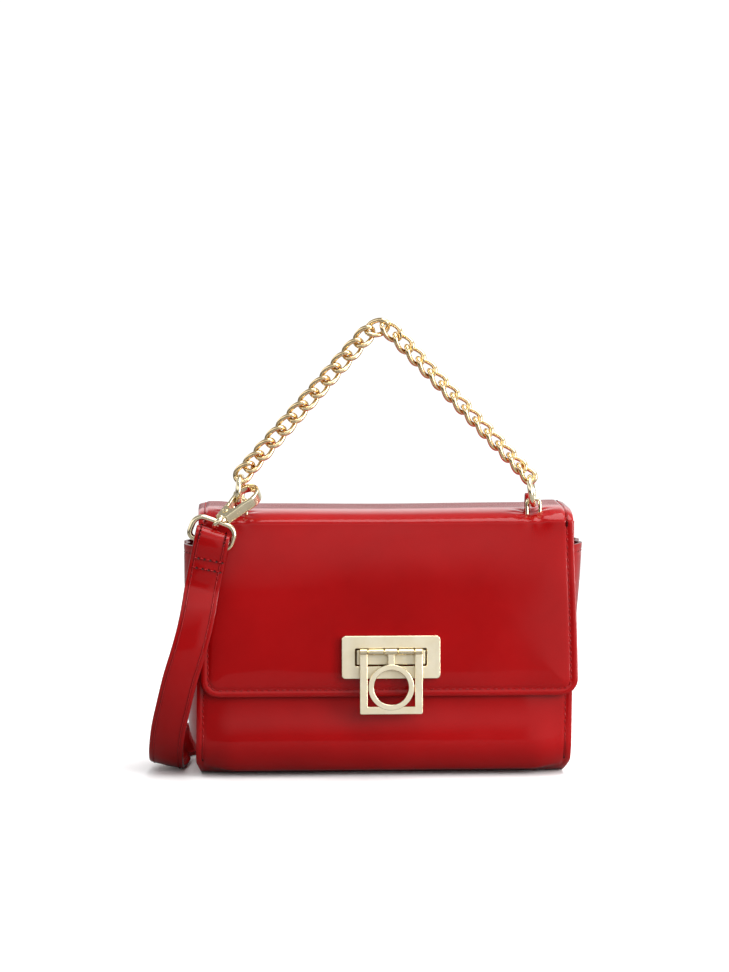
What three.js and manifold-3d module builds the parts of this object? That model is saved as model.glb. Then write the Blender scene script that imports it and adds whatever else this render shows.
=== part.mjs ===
// Small structured flap bag with a chain top handle, a drop-latch lock plate and a clip-on
// shoulder strap. Units are millimetres: +X to the right, +Y to the back, +Z up, with the
// origin in the middle of the flat underside.
import * as THREE from 'three';
import { mergeVertices } from 'three/addons/utils/BufferGeometryUtils.js';
import Module from 'manifold-3d';

const wasm = await Module();
wasm.setup();

// ---- driving dimensions ----
const GAP = 0.3; // clearance kept between pieces that touch

const BODY = {
  halfWidth: 99.5, // front, base and back panels
  height: 136, // front panel's top edge
  frontBase: 33, // front depth from the middle plane, at the base
  frontMouth: 23.5, // the same at the mouth
  backBase: 31,
  backMouth: 25.8,
  bulge: 1.2, // how far the front and back swell between base and mouth
  frontRadius: 15, // rounded edge between front and base
  backRadius: 12,
  lip: 1, // flat underside of the front and back panels
  leather: 2.2,
};
const GUSSET = { edgeX: 97.6, top: 123.5, leftFlare: 9, rightFlare: 6.5, thickness: 1.8 };
const LINING = { halfWidth: 95.4, thickness: 0.8, top: 131 };
const BOARD = { thickness: 1.5, inset: 3 };
const POCKET = { width: 120, height: 62, top: 118, thickness: 0.8 };

const FLAP = {
  top: 142,
  halfWidth: 99.3,
  lowerEdge: 44.2,
  cornerRadius: 9, // lower corners
  foldRadius: 10, // soft fold along the top front
  backRadius: 8, // soft fold along the top back
  backEdge: 134.5, // where the flap's leather meets the back panel
  outer: 2.2,
  lining: 1.0,
  clearance: 2.2, // between the flap's lining and the front panel
};
FLAP.stack = FLAP.outer + GAP + FLAP.lining + FLAP.clearance;

const LOCK = {
  x: 0.4,
  z: 65.1, // middle of the plate
  plate: { width: 52.4, height: 22.8, radius: 2, thickness: 2.2 },
  window: { width: 38, height: 9.4, radius: 0.6 },
  block: { thickness: 1.8 },
  axis: { out: 4.0, up: 2.9 }, // hinge line, from the flap's face and the plate's middle
  knuckle: { radius: 1.6, pinRadius: 0.7, pinHole: 1.0 },
  latch: { width: 33.4, drop: 33, bar: 4.1, thickness: 2, back: 3.0, ringRadius: 12.7, ringBand: 3.4 },
};
const MAGNET = { z: 55, socketRadius: 7.5, socketDepth: 1.8, studRadius: 6, studDepth: 0.6 };
const BACK_PLATE = { width: 30, height: 17, thickness: 0.6 };

const RING = { y: -21, left: { x: -79.2, barZ: 148.3 }, right: { x: 77.3, barZ: 147.4 }, radius: 7.4, wire: 1.45 };
const STAPLE = { wire: 0.95, halfSpan: 3.6, bend: 1.8 };
const CHAIN = {
  links: 26,
  apex: [-4.6, 243.7], // X and Z of the chain's highest point
  apexRadius: 13,
  wire: 1.2,
  innerLength: 9.2,
  halfWidth: 3.75,
  squareness: 0.8,
  twist: Math.PI / 4, // each link is twisted this much either side of its middle
  leftRoll: 0.2, // the left leg almost faces the front
  rightRoll: -0.8, // the right leg hangs turned about its own length
};

const HOOK = {
  length: 26.5,
  halfWidth: 7.5,
  bar: 2.2,
  band: 4.4,
  blockLength: 7.5,
  blockHalfWidth: 3.4,
  gateStart: 8.2,
  gateEnd: 18.2,
  gateBand: 4,
  boreRadius: 1.6,
  boreDepth: 3.4,
};
const EYE = { offset: 4.8, radius: 3, wire: 1.0, studRadius: 1.2, collarRadius: 2.5 };
const STRAP_RING = { halfLength: 11.4, halfHeight: 6, corner: 2.4, wire: 1.4, play: 1 };
const STRAP = { width: 18.5, thickness: 2.6, layer: 2.3, loopTail: 22 };

// Snap hooks: the point where hook and swivel meet, the way the hook points, and the side
// that its gate is on.
const LEFT_HOOK = { origin: [-90, -35.7, 137.9], along: [0.652, 0.449, 0.611], side: [-0.682, 0.7, 0.213] };
const RIGHT_HOOK = { origin: [61.3, 82.5, 4.6], along: [1, 0, 0], side: [0, 1, 0] };
// Strap rings: the direction of the long side and from the strap up to the hook, how far the
// ring sits off the eye's middle, and the same two directions for the strap's own end.
const LEFT_RING = {
  along: [0.96, 0, -0.28],
  up: [0.28, 0, 0.96],
  shift: 0.4,
  strapAlong: [0.98, 0, -0.2],
  strapUp: [0.2, 0, 0.98],
};
const RIGHT_RING = { along: [0, 1, 0], up: [1, 0, 0], shift: 0, strapAlong: [0, 1, 0], strapUp: [1, 0, 0] };

// The strap's route, as the middle line's points and the direction of its width. It falls in
// front of the bag, turns on the ground and goes round behind, where it stands on its edge.
const FRONT_ROUTE = [
  [[-100.05, -37.7, 101.1], [0.98, 0, -0.2]],
  [[-100.6, -37.8, 98.7], [0.98, 0, -0.2]],
  [[-102, -38.2, 92.5], [0.98, 0, -0.18]],
  [[-104.5, -39.2, 81], [0.98, 0, -0.16]],
  [[-107.9, -39.8, 68], [0.98, 0, -0.2]],
  [[-111.6, -39, 55], [0.97, 0, -0.24]],
  [[-114.9, -36.2, 40.5], [0.97, 0, -0.24]],
  [[-117.6, -31, 27], [0.97, 0, -0.24]],
  [[-119, -23.5, 15], [0.97, -0.05, -0.22]],
  [[-119.2, -15, 7.2], [0.97, -0.1, -0.2]],
  [[-118.6, -6.5, 3.9], [0.97, -0.13, -0.2]],
  [[-117.4, 2.5, 3.5], [0.96, -0.13, -0.26]],
  [[-115.8, 10, 5], [0.9, -0.12, -0.42]],
  [[-114, 17, 7.2], [0.74, -0.1, -0.67]],
  [[-112, 25, 9.2], [0.4, -0.08, -0.91]],
  [[-108.6, 33, 9.5], [0.1, 0, -0.99]],
  [[-102.5, 39.5, 9.5], [0, 0, -1]],
  [[-94, 42, 9.5], [0, 0, -1]],
  [[-85.3, 42, 9.5], [0, 0, -1]],
];
const HANK = { firstRun: 42, pitch: 8, left: -85, right: 82, low: 0.2, high: 18.8, tailX: -30 };
const TAIL_ROUTE = [
  [[-29.6, 74, 9.5], [0, 0, -1]],
  [[-26, 74.1, 9.5], [0, 0, -1]],
  [[-18, 74.8, 9], [0, -0.3, -0.95]],
  [[-6, 76.6, 7.4], [0, -0.75, -0.66]],
  [[6, 79.2, 4.8], [0, -0.97, -0.24]],
  [[14, 81.6, 4.3], [0, -1, 0]],
  [[19, 82.5, 4.6], [0, -1, 0]],
  [[22.1, 82.5, 4.6], [0, -1, 0]],
];

const COLOURS = {
  leather: 0xa01414,
  edge: 0x7a0d0d,
  lining: 0x2a2326,
  board: 0x9a8f80,
  gold: 0xe6d8b0,
  chainGold: 0xe6be7c,
  steel: 0xc8c8c8,
};

// ---- helpers ----
const V = (x, y, z) => new THREE.Vector3(x, y, z);
const unit = (list) => V(...list).normalize();

/** A closed solid's triangles, welded by position and turned to face outwards. */
function closed(positions, triangles) {
  const geometry = new THREE.BufferGeometry();
  geometry.setAttribute('position', new THREE.Float32BufferAttribute(positions, 3));
  geometry.setIndex(triangles);
  return facingOut(mergeVertices(geometry, 1e-4));
}

function facingOut(geometry) {
  const p = geometry.getAttribute('position');
  const index = geometry.getIndex();
  const corner = (n) => new THREE.Vector3().fromBufferAttribute(p, index.getX(n));
  let volume = 0;
  for (let n = 0; n < index.count; n += 3) {
    volume += corner(n).dot(corner(n + 1).cross(corner(n + 2)));
  }
  if (volume < 0) {
    for (let n = 0; n < index.count; n += 3) {
      const first = index.getX(n);
      index.setX(n, index.getX(n + 1));
      index.setX(n + 1, first);
    }
  }
  return geometry;
}

/** three.js geometry as a welded, position-only mesh. */
function welded(geometry) {
  const copy = geometry.index ? geometry.toNonIndexed() : geometry.clone();
  for (const name of Object.keys(copy.attributes)) {
    if (name !== 'position') copy.deleteAttribute(name);
  }
  return facingOut(mergeVertices(copy, 1e-4));
}

function toManifold(geometry) {
  const mesh = welded(geometry);
  return new wasm.Manifold(new wasm.Mesh({
    numProp: 3,
    vertProperties: new Float32Array(mesh.getAttribute('position').array),
    triVerts: new Uint32Array(mesh.getIndex().array),
  }));
}

function fromManifold(manifold) {
  const mesh = manifold.getMesh();
  const geometry = new THREE.BufferGeometry();
  geometry.setAttribute('position', new THREE.Float32BufferAttribute(mesh.vertProperties, 3));
  geometry.setIndex(Array.from(mesh.triVerts));
  return geometry;
}

const join = (...geometries) =>
  fromManifold(geometries.map(toManifold).reduce((all, one) => all.add(one)));
const cut = (geometry, ...tools) =>
  fromManifold(tools.map(toManifold).reduce((left, tool) => left.subtract(tool), toManifold(geometry)));
const common = (a, b) => fromManifold(toManifold(a).intersect(toManifold(b)));

/** A solid between two grids of points, rows by columns, such as a bent sheet of leather. */
function betweenGrids(outer, inner) {
  const rows = outer.length;
  const columns = outer[0].length;
  const positions = [...outer.flat(), ...inner.flat()].flatMap((p) => p.toArray());
  const at = (side, row, column) => (side * rows + row) * columns + column;
  const triangles = [];
  const quad = (a, b, c, d) => triangles.push(a, b, c, a, c, d);
  for (let r = 0; r + 1 < rows; r += 1) {
    for (let c = 0; c + 1 < columns; c += 1) {
      quad(at(0, r, c), at(0, r, c + 1), at(0, r + 1, c + 1), at(0, r + 1, c));
      quad(at(1, r, c), at(1, r + 1, c), at(1, r + 1, c + 1), at(1, r, c + 1));
    }
    const last = columns - 1;
    quad(at(0, r, 0), at(0, r + 1, 0), at(1, r + 1, 0), at(1, r, 0));
    quad(at(0, r, last), at(1, r, last), at(1, r + 1, last), at(0, r + 1, last));
  }
  for (let c = 0; c + 1 < columns; c += 1) {
    const last = rows - 1;
    quad(at(0, 0, c), at(1, 0, c), at(1, 0, c + 1), at(0, 0, c + 1));
    quad(at(0, last, c), at(0, last, c + 1), at(1, last, c + 1), at(1, last, c));
  }
  return closed(positions, triangles);
}

/** A sheet that follows a line in the YZ plane, with its other face towards the bag's inside. */
function bentPanel(line, thickness, halfWidthAt) {
  const inner = offsetLine(line, thickness);
  const row = ([y, z], [, height]) => {
    const half = halfWidthAt(height);
    return [V(-half, y, z), V(half, y, z)];
  };
  return betweenGrids(line.map((p) => row(p, p)), inner.map((p, n) => row(p, line[n])));
}

/** A line in the YZ plane moved sideways, to the right of the way it runs. */
function offsetLine(line, distance) {
  return line.map(([y, z], n) => {
    const [y0, z0] = line[Math.max(n - 1, 0)];
    const [y1, z1] = line[Math.min(n + 1, line.length - 1)];
    const length = Math.hypot(y1 - y0, z1 - z0);
    return [y + (distance * (z1 - z0)) / length, z - (distance * (y1 - y0)) / length];
  });
}

const steps = (from, to, count) =>
  Array.from({ length: count + 1 }, (_, n) => from + ((to - from) * n) / count);

const arcPoints = (cy, cz, radius, fromDeg, toDeg, count) =>
  steps(fromDeg, toDeg, count).map((deg) => {
    const angle = THREE.MathUtils.degToRad(deg);
    return [cy + radius * Math.cos(angle), cz + radius * Math.sin(angle)];
  });

/** A matrix whose X, Y and Z axes are the given directions, at a point. */
function frameAt(origin, x, y, z) {
  return new THREE.Matrix4().makeBasis(x, y, z).setPosition(...origin);
}

function closedWire(points, radius, sides, segments) {
  const curve = new THREE.CatmullRomCurve3(points, true, 'centripetal');
  return welded(new THREE.TubeGeometry(curve, segments, radius, sides, true));
}

function openWire(points, radius, sides, segments) {
  const section = new THREE.Shape(
    steps(0, 2 * Math.PI, sides)
      .slice(0, -1)
      .map((angle) => new THREE.Vector2(radius * Math.cos(angle), radius * Math.sin(angle))),
  );
  const extrudePath = new THREE.CatmullRomCurve3(points, false, 'centripetal');
  return welded(new THREE.ExtrudeGeometry(section, { steps: segments, extrudePath, curveSegments: 1 }));
}

function roundedRectangle(width, height, radius) {
  const [w, h] = [width / 2, height / 2];
  const shape = new THREE.Shape();
  shape.moveTo(-w + radius, -h);
  shape.lineTo(w - radius, -h);
  shape.absarc(w - radius, -h + radius, radius, -Math.PI / 2, 0);
  shape.lineTo(w, h - radius);
  shape.absarc(w - radius, h - radius, radius, 0, Math.PI / 2);
  shape.lineTo(-w + radius, h);
  shape.absarc(-w + radius, h - radius, radius, Math.PI / 2, Math.PI);
  shape.lineTo(-w, -h + radius);
  shape.absarc(-w + radius, -h + radius, radius, Math.PI, 1.5 * Math.PI);
  return shape;
}

const flat = (shape, depth, curveSegments = 4) =>
  new THREE.ExtrudeGeometry(shape, { depth, bevelEnabled: false, curveSegments });

/** A bar along X with a rectangular section, between two corners. */
function barBetween([x0, y0, z0], [x1, y1, z1]) {
  const box = new THREE.BoxGeometry(x1 - x0, y1 - y0, z1 - z0);
  return box.translate((x0 + x1) / 2, (y0 + y1) / 2, (z0 + z1) / 2);
}

function rodAlongX(x0, x1, y, z, radius, sides = 12) {
  const rod = new THREE.CylinderGeometry(radius, radius, x1 - x0, sides);
  return rod.rotateZ(Math.PI / 2).translate((x0 + x1) / 2, y, z);
}

// ---- the bag's section ----
const swell = (z) => BODY.bulge * Math.sin((Math.PI * Math.min(z, BODY.height)) / BODY.height);

function frontY(z) {
  return -(THREE.MathUtils.lerp(BODY.frontBase, BODY.frontMouth, z / BODY.height) + swell(z));
}

function backY(z) {
  return THREE.MathUtils.lerp(BODY.backBase, BODY.backMouth, z / FLAP.backEdge) + swell(z) * 0.5;
}

/** Where the inside of a wall lies at a height, once inset from its outer face. */
function insideWall(z, inset, wallY, radius) {
  const outwards = Math.sign(wallY(radius));
  if (z >= radius) return wallY(z) - outwards * inset;
  const middle = wallY(radius) - outwards * radius;
  const reach = radius - inset;
  return middle + outwards * Math.sqrt(Math.max(reach ** 2 - (radius - z) ** 2, 0));
}

const insideFront = (z, inset) => insideWall(z, inset, frontY, BODY.frontRadius);
const insideBack = (z, inset) => insideWall(z, inset, backY, BODY.backRadius);

function frontLine() {
  const radius = BODY.frontRadius;
  const wall = steps(BODY.height, radius, 7).map((z) => [frontY(z), z]);
  const centre = frontY(radius) + radius;
  return [...wall, ...arcPoints(centre, radius, radius, 180, 270, 6).slice(1), [centre + BODY.lip, 0]];
}

function backLine() {
  const radius = BODY.backRadius;
  const wall = steps(radius, FLAP.backEdge - 2 * GAP, 7).map((z) => [backY(z), z]);
  const centre = backY(radius) - radius;
  return [[centre - BODY.lip, 0], ...arcPoints(centre, radius, radius, -90, 0, 5).slice(0, -1), ...wall];
}

const magnetTilt = Math.atan2(frontY(MAGNET.z + 5) - frontY(MAGNET.z - 5), 10);

/** Things lying on the front: local +Z points out of the bag, local +Y up along its face. */
function onFace(x, y, z, tilt) {
  const out = V(0, -Math.cos(tilt), Math.sin(tilt));
  const up = V(0, Math.sin(tilt), Math.cos(tilt));
  return frameAt([x, y, z], V(1, 0, 0), up, out);
}

function frontPanel() {
  const panel = bentPanel(frontLine(), -BODY.leather, () => BODY.halfWidth);
  const hole = new THREE.CylinderGeometry(MAGNET.socketRadius + GAP, MAGNET.socketRadius + GAP, 8, 20);
  hole.rotateX(Math.PI / 2).applyMatrix4(onFace(LOCK.x, frontY(MAGNET.z), MAGNET.z, magnetTilt));
  return cut(panel, hole);
}

function basePanel() {
  const front = frontY(BODY.frontRadius) + BODY.frontRadius + BODY.lip + GAP;
  const back = backY(BODY.backRadius) - BODY.backRadius - BODY.lip - GAP;
  return barBetween([-BODY.halfWidth, front, 0], [BODY.halfWidth, back, BODY.leather]);
}

const backPanel = () => bentPanel(backLine(), -BODY.leather, () => BODY.halfWidth);

/** A side wall that swells outwards, most at the mouth. */
function gusset(side, flare) {
  const clear = BODY.leather + GAP;
  const sheet = (depth) =>
    steps(clear, GUSSET.top, 9).map((z) =>
      steps(0, 1, 8).map((t) => {
        const y = THREE.MathUtils.lerp(insideFront(z, clear), insideBack(z, clear), t);
        const out = flare * (z / GUSSET.top) ** 1.3 * Math.sin(Math.PI * t) ** 0.8;
        return V(side * (GUSSET.edgeX + out - depth), y, z);
      }));
  return betweenGrids(sheet(0), sheet(GUSSET.thickness));
}

/** A block that fills the bag between its walls, inset from them all. */
function innerBlock(inset, halfWidth, low, high) {
  const heights = [...steps(low, BODY.frontRadius + 1, 4), ...steps(BODY.frontRadius + 1, high, 4).slice(1)];
  const outline = [
    ...heights.map((z) => new THREE.Vector2(insideFront(z, inset), z)),
    ...heights.reverse().map((z) => new THREE.Vector2(insideBack(z, inset), z)),
  ];
  const block = flat(new THREE.Shape(outline), 2 * halfWidth);
  // the outline's X and Y become the bag's Y and Z
  block.applyMatrix4(new THREE.Matrix4().makeBasis(V(0, 1, 0), V(0, 0, 1), V(1, 0, 0)));
  return block.translate(-halfWidth, 0, 0);
}

const liningFloor = BODY.leather + GAP + BOARD.thickness + GAP;

function lining() {
  const inset = BODY.leather + GAP;
  const outside = innerBlock(inset, LINING.halfWidth, liningFloor, LINING.top);
  const t = LINING.thickness;
  const inside = innerBlock(inset + t, LINING.halfWidth - t, liningFloor + t, LINING.top + 10);
  return cut(outside, inside);
}

function baseBoard() {
  const low = BODY.leather + GAP;
  const front = insideFront(low, low) + BOARD.inset;
  const back = insideBack(low, low) - BOARD.inset;
  const half = LINING.halfWidth - BOARD.inset;
  return barBetween([-half, front, low], [half, back, low + BOARD.thickness]);
}

/** A flat patch pocket on the lining's back wall. */
function slipPocket() {
  const inset = BODY.leather + GAP + LINING.thickness + GAP;
  const line = steps(POCKET.top - POCKET.height, POCKET.top, 3).map((z) => [insideBack(z, inset), z]);
  return bentPanel(line, -POCKET.thickness, () => POCKET.width / 2);
}

// ---- the flap ----
const flapY = (z) => frontY(z) - FLAP.stack;

/** The flap's outer line, from the back edge over the top and down to the lower edge. */
function flapLine() {
  const foldZ = FLAP.top - FLAP.foldRadius;
  const foldY = flapY(foldZ) + FLAP.foldRadius;
  const backCentre = backY(FLAP.backEdge) - FLAP.backRadius;
  const cornerTop = FLAP.lowerEdge + FLAP.cornerRadius;
  const front = [...steps(foldZ, cornerTop, 5), ...cornerHeights().slice(1)];
  return [
    [backY(FLAP.backEdge), FLAP.backEdge],
    ...arcPoints(backCentre, FLAP.top - FLAP.backRadius, FLAP.backRadius, 4, 90, 5),
    ...steps(backCentre, foldY, 2).slice(1, -1).map((y) => [y, FLAP.top]),
    ...arcPoints(foldY, foldZ, FLAP.foldRadius, 90, 180, 6),
    ...front.slice(1).map((z) => [flapY(z), z]),
  ];
}

function cornerHeights() {
  const top = FLAP.lowerEdge + FLAP.cornerRadius;
  return steps(0, 90, 5).map((deg) => top - FLAP.cornerRadius * Math.sin(THREE.MathUtils.degToRad(deg)));
}

function flapHalfWidth(z) {
  const below = Math.max(FLAP.lowerEdge + FLAP.cornerRadius - z, 0);
  const rounded = Math.sqrt(Math.max(FLAP.cornerRadius ** 2 - below ** 2, 0));
  return FLAP.halfWidth - FLAP.cornerRadius + rounded;
}

const flapOuter = () => bentPanel(flapLine(), -FLAP.outer, flapHalfWidth);

function flapLining() {
  const line = offsetLine(flapLine(), -(FLAP.outer + GAP));
  return bentPanel(line, -FLAP.lining, (z) => flapHalfWidth(Math.max(z, FLAP.lowerEdge)));
}

// ---- the lock ----
const lockTilt = Math.atan2(flapY(LOCK.z + 8) - flapY(LOCK.z - 8), 16);
const lockFrame = onFace(LOCK.x, flapY(LOCK.z), LOCK.z, lockTilt);
const lockAxis = V(0, LOCK.axis.up, LOCK.axis.out).applyMatrix4(lockFrame);

// Where the three knuckles of the latch and the two barrels of the block lie along the hinge.
const knuckles = [[-16.7, -12.6], [-3.4, 3.4], [12.6, 16.7]];
const barrels = [[-12.2, -3.8], [3.8, 12.2]];

function lockPlate() {
  const { plate, window: opening } = LOCK;
  const shape = roundedRectangle(plate.width, plate.height, plate.radius);
  shape.holes.push(roundedRectangle(opening.width, opening.height, opening.radius));
  return flat(shape, plate.thickness).translate(0, 0, GAP).applyMatrix4(lockFrame);
}

function hingeBlock() {
  const { window: opening, block, axis, knuckle } = LOCK;
  const shape = roundedRectangle(opening.width - 2 * GAP, opening.height - 2 * GAP, opening.radius);
  const base = flat(shape, block.thickness).translate(0, 0, GAP);
  const webs = barrels.map(([a, b]) => barBetween([a, axis.up - 1.4, 1], [b, axis.up + 1.4, axis.out]));
  const rods = barrels.map(([a, b]) => rodAlongX(a, b, axis.up, axis.out, knuckle.radius));
  const hole = rodAlongX(-20, 20, axis.up, axis.out, knuckle.pinHole);
  return cut(join(base, ...webs, ...rods), hole).applyMatrix4(lockFrame);
}

function hingePin() {
  const half = LOCK.latch.width / 2;
  return rodAlongX(-half, half, LOCK.axis.up, LOCK.axis.out, LOCK.knuckle.pinRadius).applyMatrix4(lockFrame);
}

/** The openwork drop latch: three legs, a round ring between them and a bar across the bottom. */
function dropLatch() {
  const { axis, knuckle, latch } = LOCK;
  const half = latch.width / 2;
  const low = axis.up - latch.drop;
  const [back, front] = [latch.back, latch.back + latch.thickness];
  const ringUp = low + latch.bar / 2 + latch.ringRadius;
  const leg = (x0, x1, bottom) => barBetween([x0, bottom, back], [x1, axis.up, front]);
  const ring = new THREE.Shape();
  ring.absarc(0, 0, latch.ringRadius, 0, 2 * Math.PI);
  const inside = new THREE.Path();
  inside.absarc(0, 0, latch.ringRadius - latch.ringBand, 0, 2 * Math.PI);
  ring.holes.push(inside);
  const foot = roundedRectangle(latch.width, latch.bar, 1);
  const pieces = [
    leg(-half, -half + latch.bar, low + 1),
    leg(half - latch.bar, half, low + 1),
    leg(-1.8, 1.8, ringUp + latch.ringRadius - latch.ringBand / 2),
    flat(foot, latch.thickness).translate(0, low + latch.bar / 2, back),
    flat(ring, latch.thickness, 14).translate(0, ringUp, back),
    ...knuckles.map(([a, b]) => rodAlongX(a, b, axis.up, axis.out, knuckle.radius)),
  ];
  const hole = rodAlongX(-20, 20, axis.up, axis.out, knuckle.pinHole);
  return cut(join(...pieces), hole).applyMatrix4(lockFrame);
}

/** A disc or plate lying flat on the front face, between two distances out of it. */
function magnetSocket() {
  const disc = new THREE.CylinderGeometry(MAGNET.socketRadius, MAGNET.socketRadius, MAGNET.socketDepth, 20);
  disc.rotateX(Math.PI / 2).translate(0, 0, -MAGNET.socketDepth / 2 - 0.1);
  return disc.applyMatrix4(onFace(LOCK.x, frontY(MAGNET.z), MAGNET.z, magnetTilt));
}

function magnetStud() {
  const disc = new THREE.CylinderGeometry(MAGNET.studRadius, MAGNET.studRadius, MAGNET.studDepth, 20);
  const out = FLAP.clearance - GAP - BACK_PLATE.thickness - GAP - MAGNET.studDepth / 2;
  disc.rotateX(Math.PI / 2).translate(0, 0, out);
  return disc.applyMatrix4(onFace(LOCK.x, frontY(MAGNET.z), MAGNET.z, magnetTilt));
}

function backPlate() {
  const plate = flat(roundedRectangle(BACK_PLATE.width, BACK_PLATE.height, 2), BACK_PLATE.thickness);
  plate.translate(0, 0, FLAP.clearance - GAP - BACK_PLATE.thickness);
  return plate.applyMatrix4(onFace(LOCK.x, frontY(MAGNET.z), MAGNET.z, magnetTilt));
}

// ---- handle ----
const ringCentre = (side) => side.barZ - STAPLE.wire - GAP + RING.radius - RING.wire;

function bagRing(side) {
  const torus = new THREE.TorusGeometry(RING.radius, RING.wire, 6, 20);
  return welded(torus.rotateY(Math.PI / 2).translate(side.x, RING.y, ringCentre(side)));
}

/** The U-shaped staple that holds a ring down on the flap. */
function staple(side) {
  const foot = FLAP.top + GAP;
  const { halfSpan, bend } = STAPLE;
  const half = [
    V(halfSpan, 0, foot),
    V(halfSpan, 0, side.barZ - bend),
    V(halfSpan - bend * 0.3, 0, side.barZ - bend * 0.3),
    V(halfSpan - bend, 0, side.barZ),
  ];
  const mirrored = half.map((p) => V(-p.x, p.y, p.z)).reverse();
  const path = [...half, V(0, 0, side.barZ), ...mirrored].map((p) => p.add(V(side.x, RING.y, 0)));
  return openWire(path, STAPLE.wire, 6, 14);
}

/** The chain's middle line, from one ring's top over the rounded apex to the other's. */
function chainPath() {
  const top = (side) => V(side.x, RING.y, ringCentre(side) + RING.radius);
  const [left, right] = [top(RING.left), top(RING.right)];
  const apex = V(CHAIN.apex[0], RING.y, CHAIN.apex[1]);
  const back = CHAIN.apexRadius;
  const enter = apex.clone().addScaledVector(left.clone().sub(apex).normalize(), back);
  const leave = apex.clone().addScaledVector(right.clone().sub(apex).normalize(), back);
  const path = new THREE.CurvePath();
  path.add(new THREE.LineCurve3(left, enter));
  path.add(new THREE.QuadraticBezierCurve3(enter, apex, leave));
  path.add(new THREE.LineCurve3(leave, right));
  return path;
}

/** One curb link, lying along X, twisted about its length. */
function curbLink() {
  const halfLength = CHAIN.innerLength / 2 + CHAIN.wire;
  const eased = (value) => Math.sign(value) * Math.abs(value) ** CHAIN.squareness;
  const points = steps(0, 2 * Math.PI, 20).slice(0, -1).map((angle) => {
    const x = halfLength * eased(Math.cos(angle));
    const across = CHAIN.halfWidth * eased(Math.sin(angle));
    const turn = (CHAIN.twist * x) / halfLength;
    return V(x, across * Math.cos(turn), across * Math.sin(turn));
  });
  return closedWire(points, CHAIN.wire, 6, 14);
}

/** Each link's place: its middle, the way it points and how far it is rolled about that. */
function chainLinks() {
  const path = chainPath();
  const length = path.getLength();
  const endInset = CHAIN.innerLength / 2 - RING.wire - 4 * GAP;
  const pitch = (length - 2 * endInset) / (CHAIN.links - 1);
  return steps(0, CHAIN.links - 1, CHAIN.links - 1).map((n) => {
    const middle = endInset + n * pitch;
    const from = path.getPointAt(Math.max(middle - pitch / 2, 0) / length);
    const to = path.getPointAt(Math.min(middle + pitch / 2, length) / length);
    const along = to.clone().sub(from).normalize();
    const centre = from.add(to).multiplyScalar(0.5);
    const past = THREE.MathUtils.smoothstep(n, 9, 17);
    return { centre, along, roll: THREE.MathUtils.lerp(CHAIN.leftRoll, CHAIN.rightRoll, past) };
  });
}

function chainLink({ centre, along, roll }) {
  const link = curbLink();
  const depth = V(0, 1, 0);
  const across = depth.clone().cross(along).normalize();
  link.rotateX(roll);
  return link.applyMatrix4(frameAt(centre.toArray(), along, across, along.clone().cross(across)));
}

// ---- snap hooks ----
/** The hook's closed outline with its hole; local X runs along it, local Y to its gate side. */
function hookOutline(inset) {
  const { length, halfWidth, blockLength, blockHalfWidth, bar } = HOOK;
  const end = length - halfWidth;
  const shape = new THREE.Shape();
  shape.moveTo(0, -blockHalfWidth);
  shape.lineTo(blockLength, -blockHalfWidth - 0.6);
  shape.lineTo(end - 1, -halfWidth + inset);
  shape.absarc(end, 0, halfWidth, -Math.PI / 2, Math.PI / 2, false);
  shape.lineTo(blockLength, blockHalfWidth + 0.6);
  shape.lineTo(0, blockHalfWidth);
  const hole = new THREE.Path();
  const inner = halfWidth - bar;
  hole.moveTo(blockLength + 0.8, -blockHalfWidth + bar - 0.4);
  hole.absarc(end, 0, inner, -Math.PI / 2, Math.PI / 2);
  hole.lineTo(blockLength + 0.8, blockHalfWidth - bar + 0.4);
  shape.holes.push(hole);
  return shape;
}

function hookFrame(hook) {
  const along = unit(hook.along);
  const normal = along.clone().cross(unit(hook.side)).normalize();
  return frameAt(hook.origin, along, normal.clone().cross(along), normal);
}

/** The stretch of the hook's gate side that the gate fills. */
function gateZone(from, to) {
  return barBetween([from, 1.5, -10], [to, 14, 10]);
}

function hookBody(hook) {
  const band = flat(hookOutline(0), HOOK.band, 6).translate(0, 0, -HOOK.band / 2);
  const bore = rodAlongX(-1, HOOK.boreDepth, 0, 0, HOOK.boreRadius);
  const body = cut(band, gateZone(HOOK.gateStart, HOOK.gateEnd), bore);
  return body.applyMatrix4(hookFrame(hook));
}

function hookGate(hook) {
  const band = flat(hookOutline(0), HOOK.gateBand, 6).translate(0, 0, -HOOK.gateBand / 2);
  const zone = gateZone(HOOK.gateStart + 3 * GAP, HOOK.gateEnd - 2 * GAP);
  return common(band, zone).applyMatrix4(hookFrame(hook));
}

/** The swivel: a stud in the hook's bore, a collar and the eye that the strap ring runs through. */
function swivelEye(hook, ring) {
  const frame = hookFrame(hook);
  const along = unit(hook.along);
  const bar = unit(ring.along);
  const axis = bar.addScaledVector(along, -bar.dot(along)).normalize();
  const centre = V(...hook.origin).addScaledVector(along, -EYE.offset);
  const loop = new THREE.TorusGeometry(EYE.radius, EYE.wire, 6, 14);
  loop.applyMatrix4(frameAt(centre.toArray(), axis.clone().cross(along), along, axis));
  const collar = rodAlongX(-EYE.offset + EYE.radius - 0.2, -GAP, 0, 0, EYE.collarRadius).applyMatrix4(frame);
  const stud = rodAlongX(-1, HOOK.boreDepth - 2 * GAP, 0, 0, EYE.studRadius).applyMatrix4(frame);
  return join(loop, collar, stud);
}

const eyeCentre = (hook) => V(...hook.origin).addScaledVector(unit(hook.along), -EYE.offset);

function ringMiddle(hook, ring) {
  return eyeCentre(hook)
    .addScaledVector(unit(ring.up), -STRAP_RING.halfHeight)
    .addScaledVector(unit(ring.along), ring.shift);
}

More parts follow.
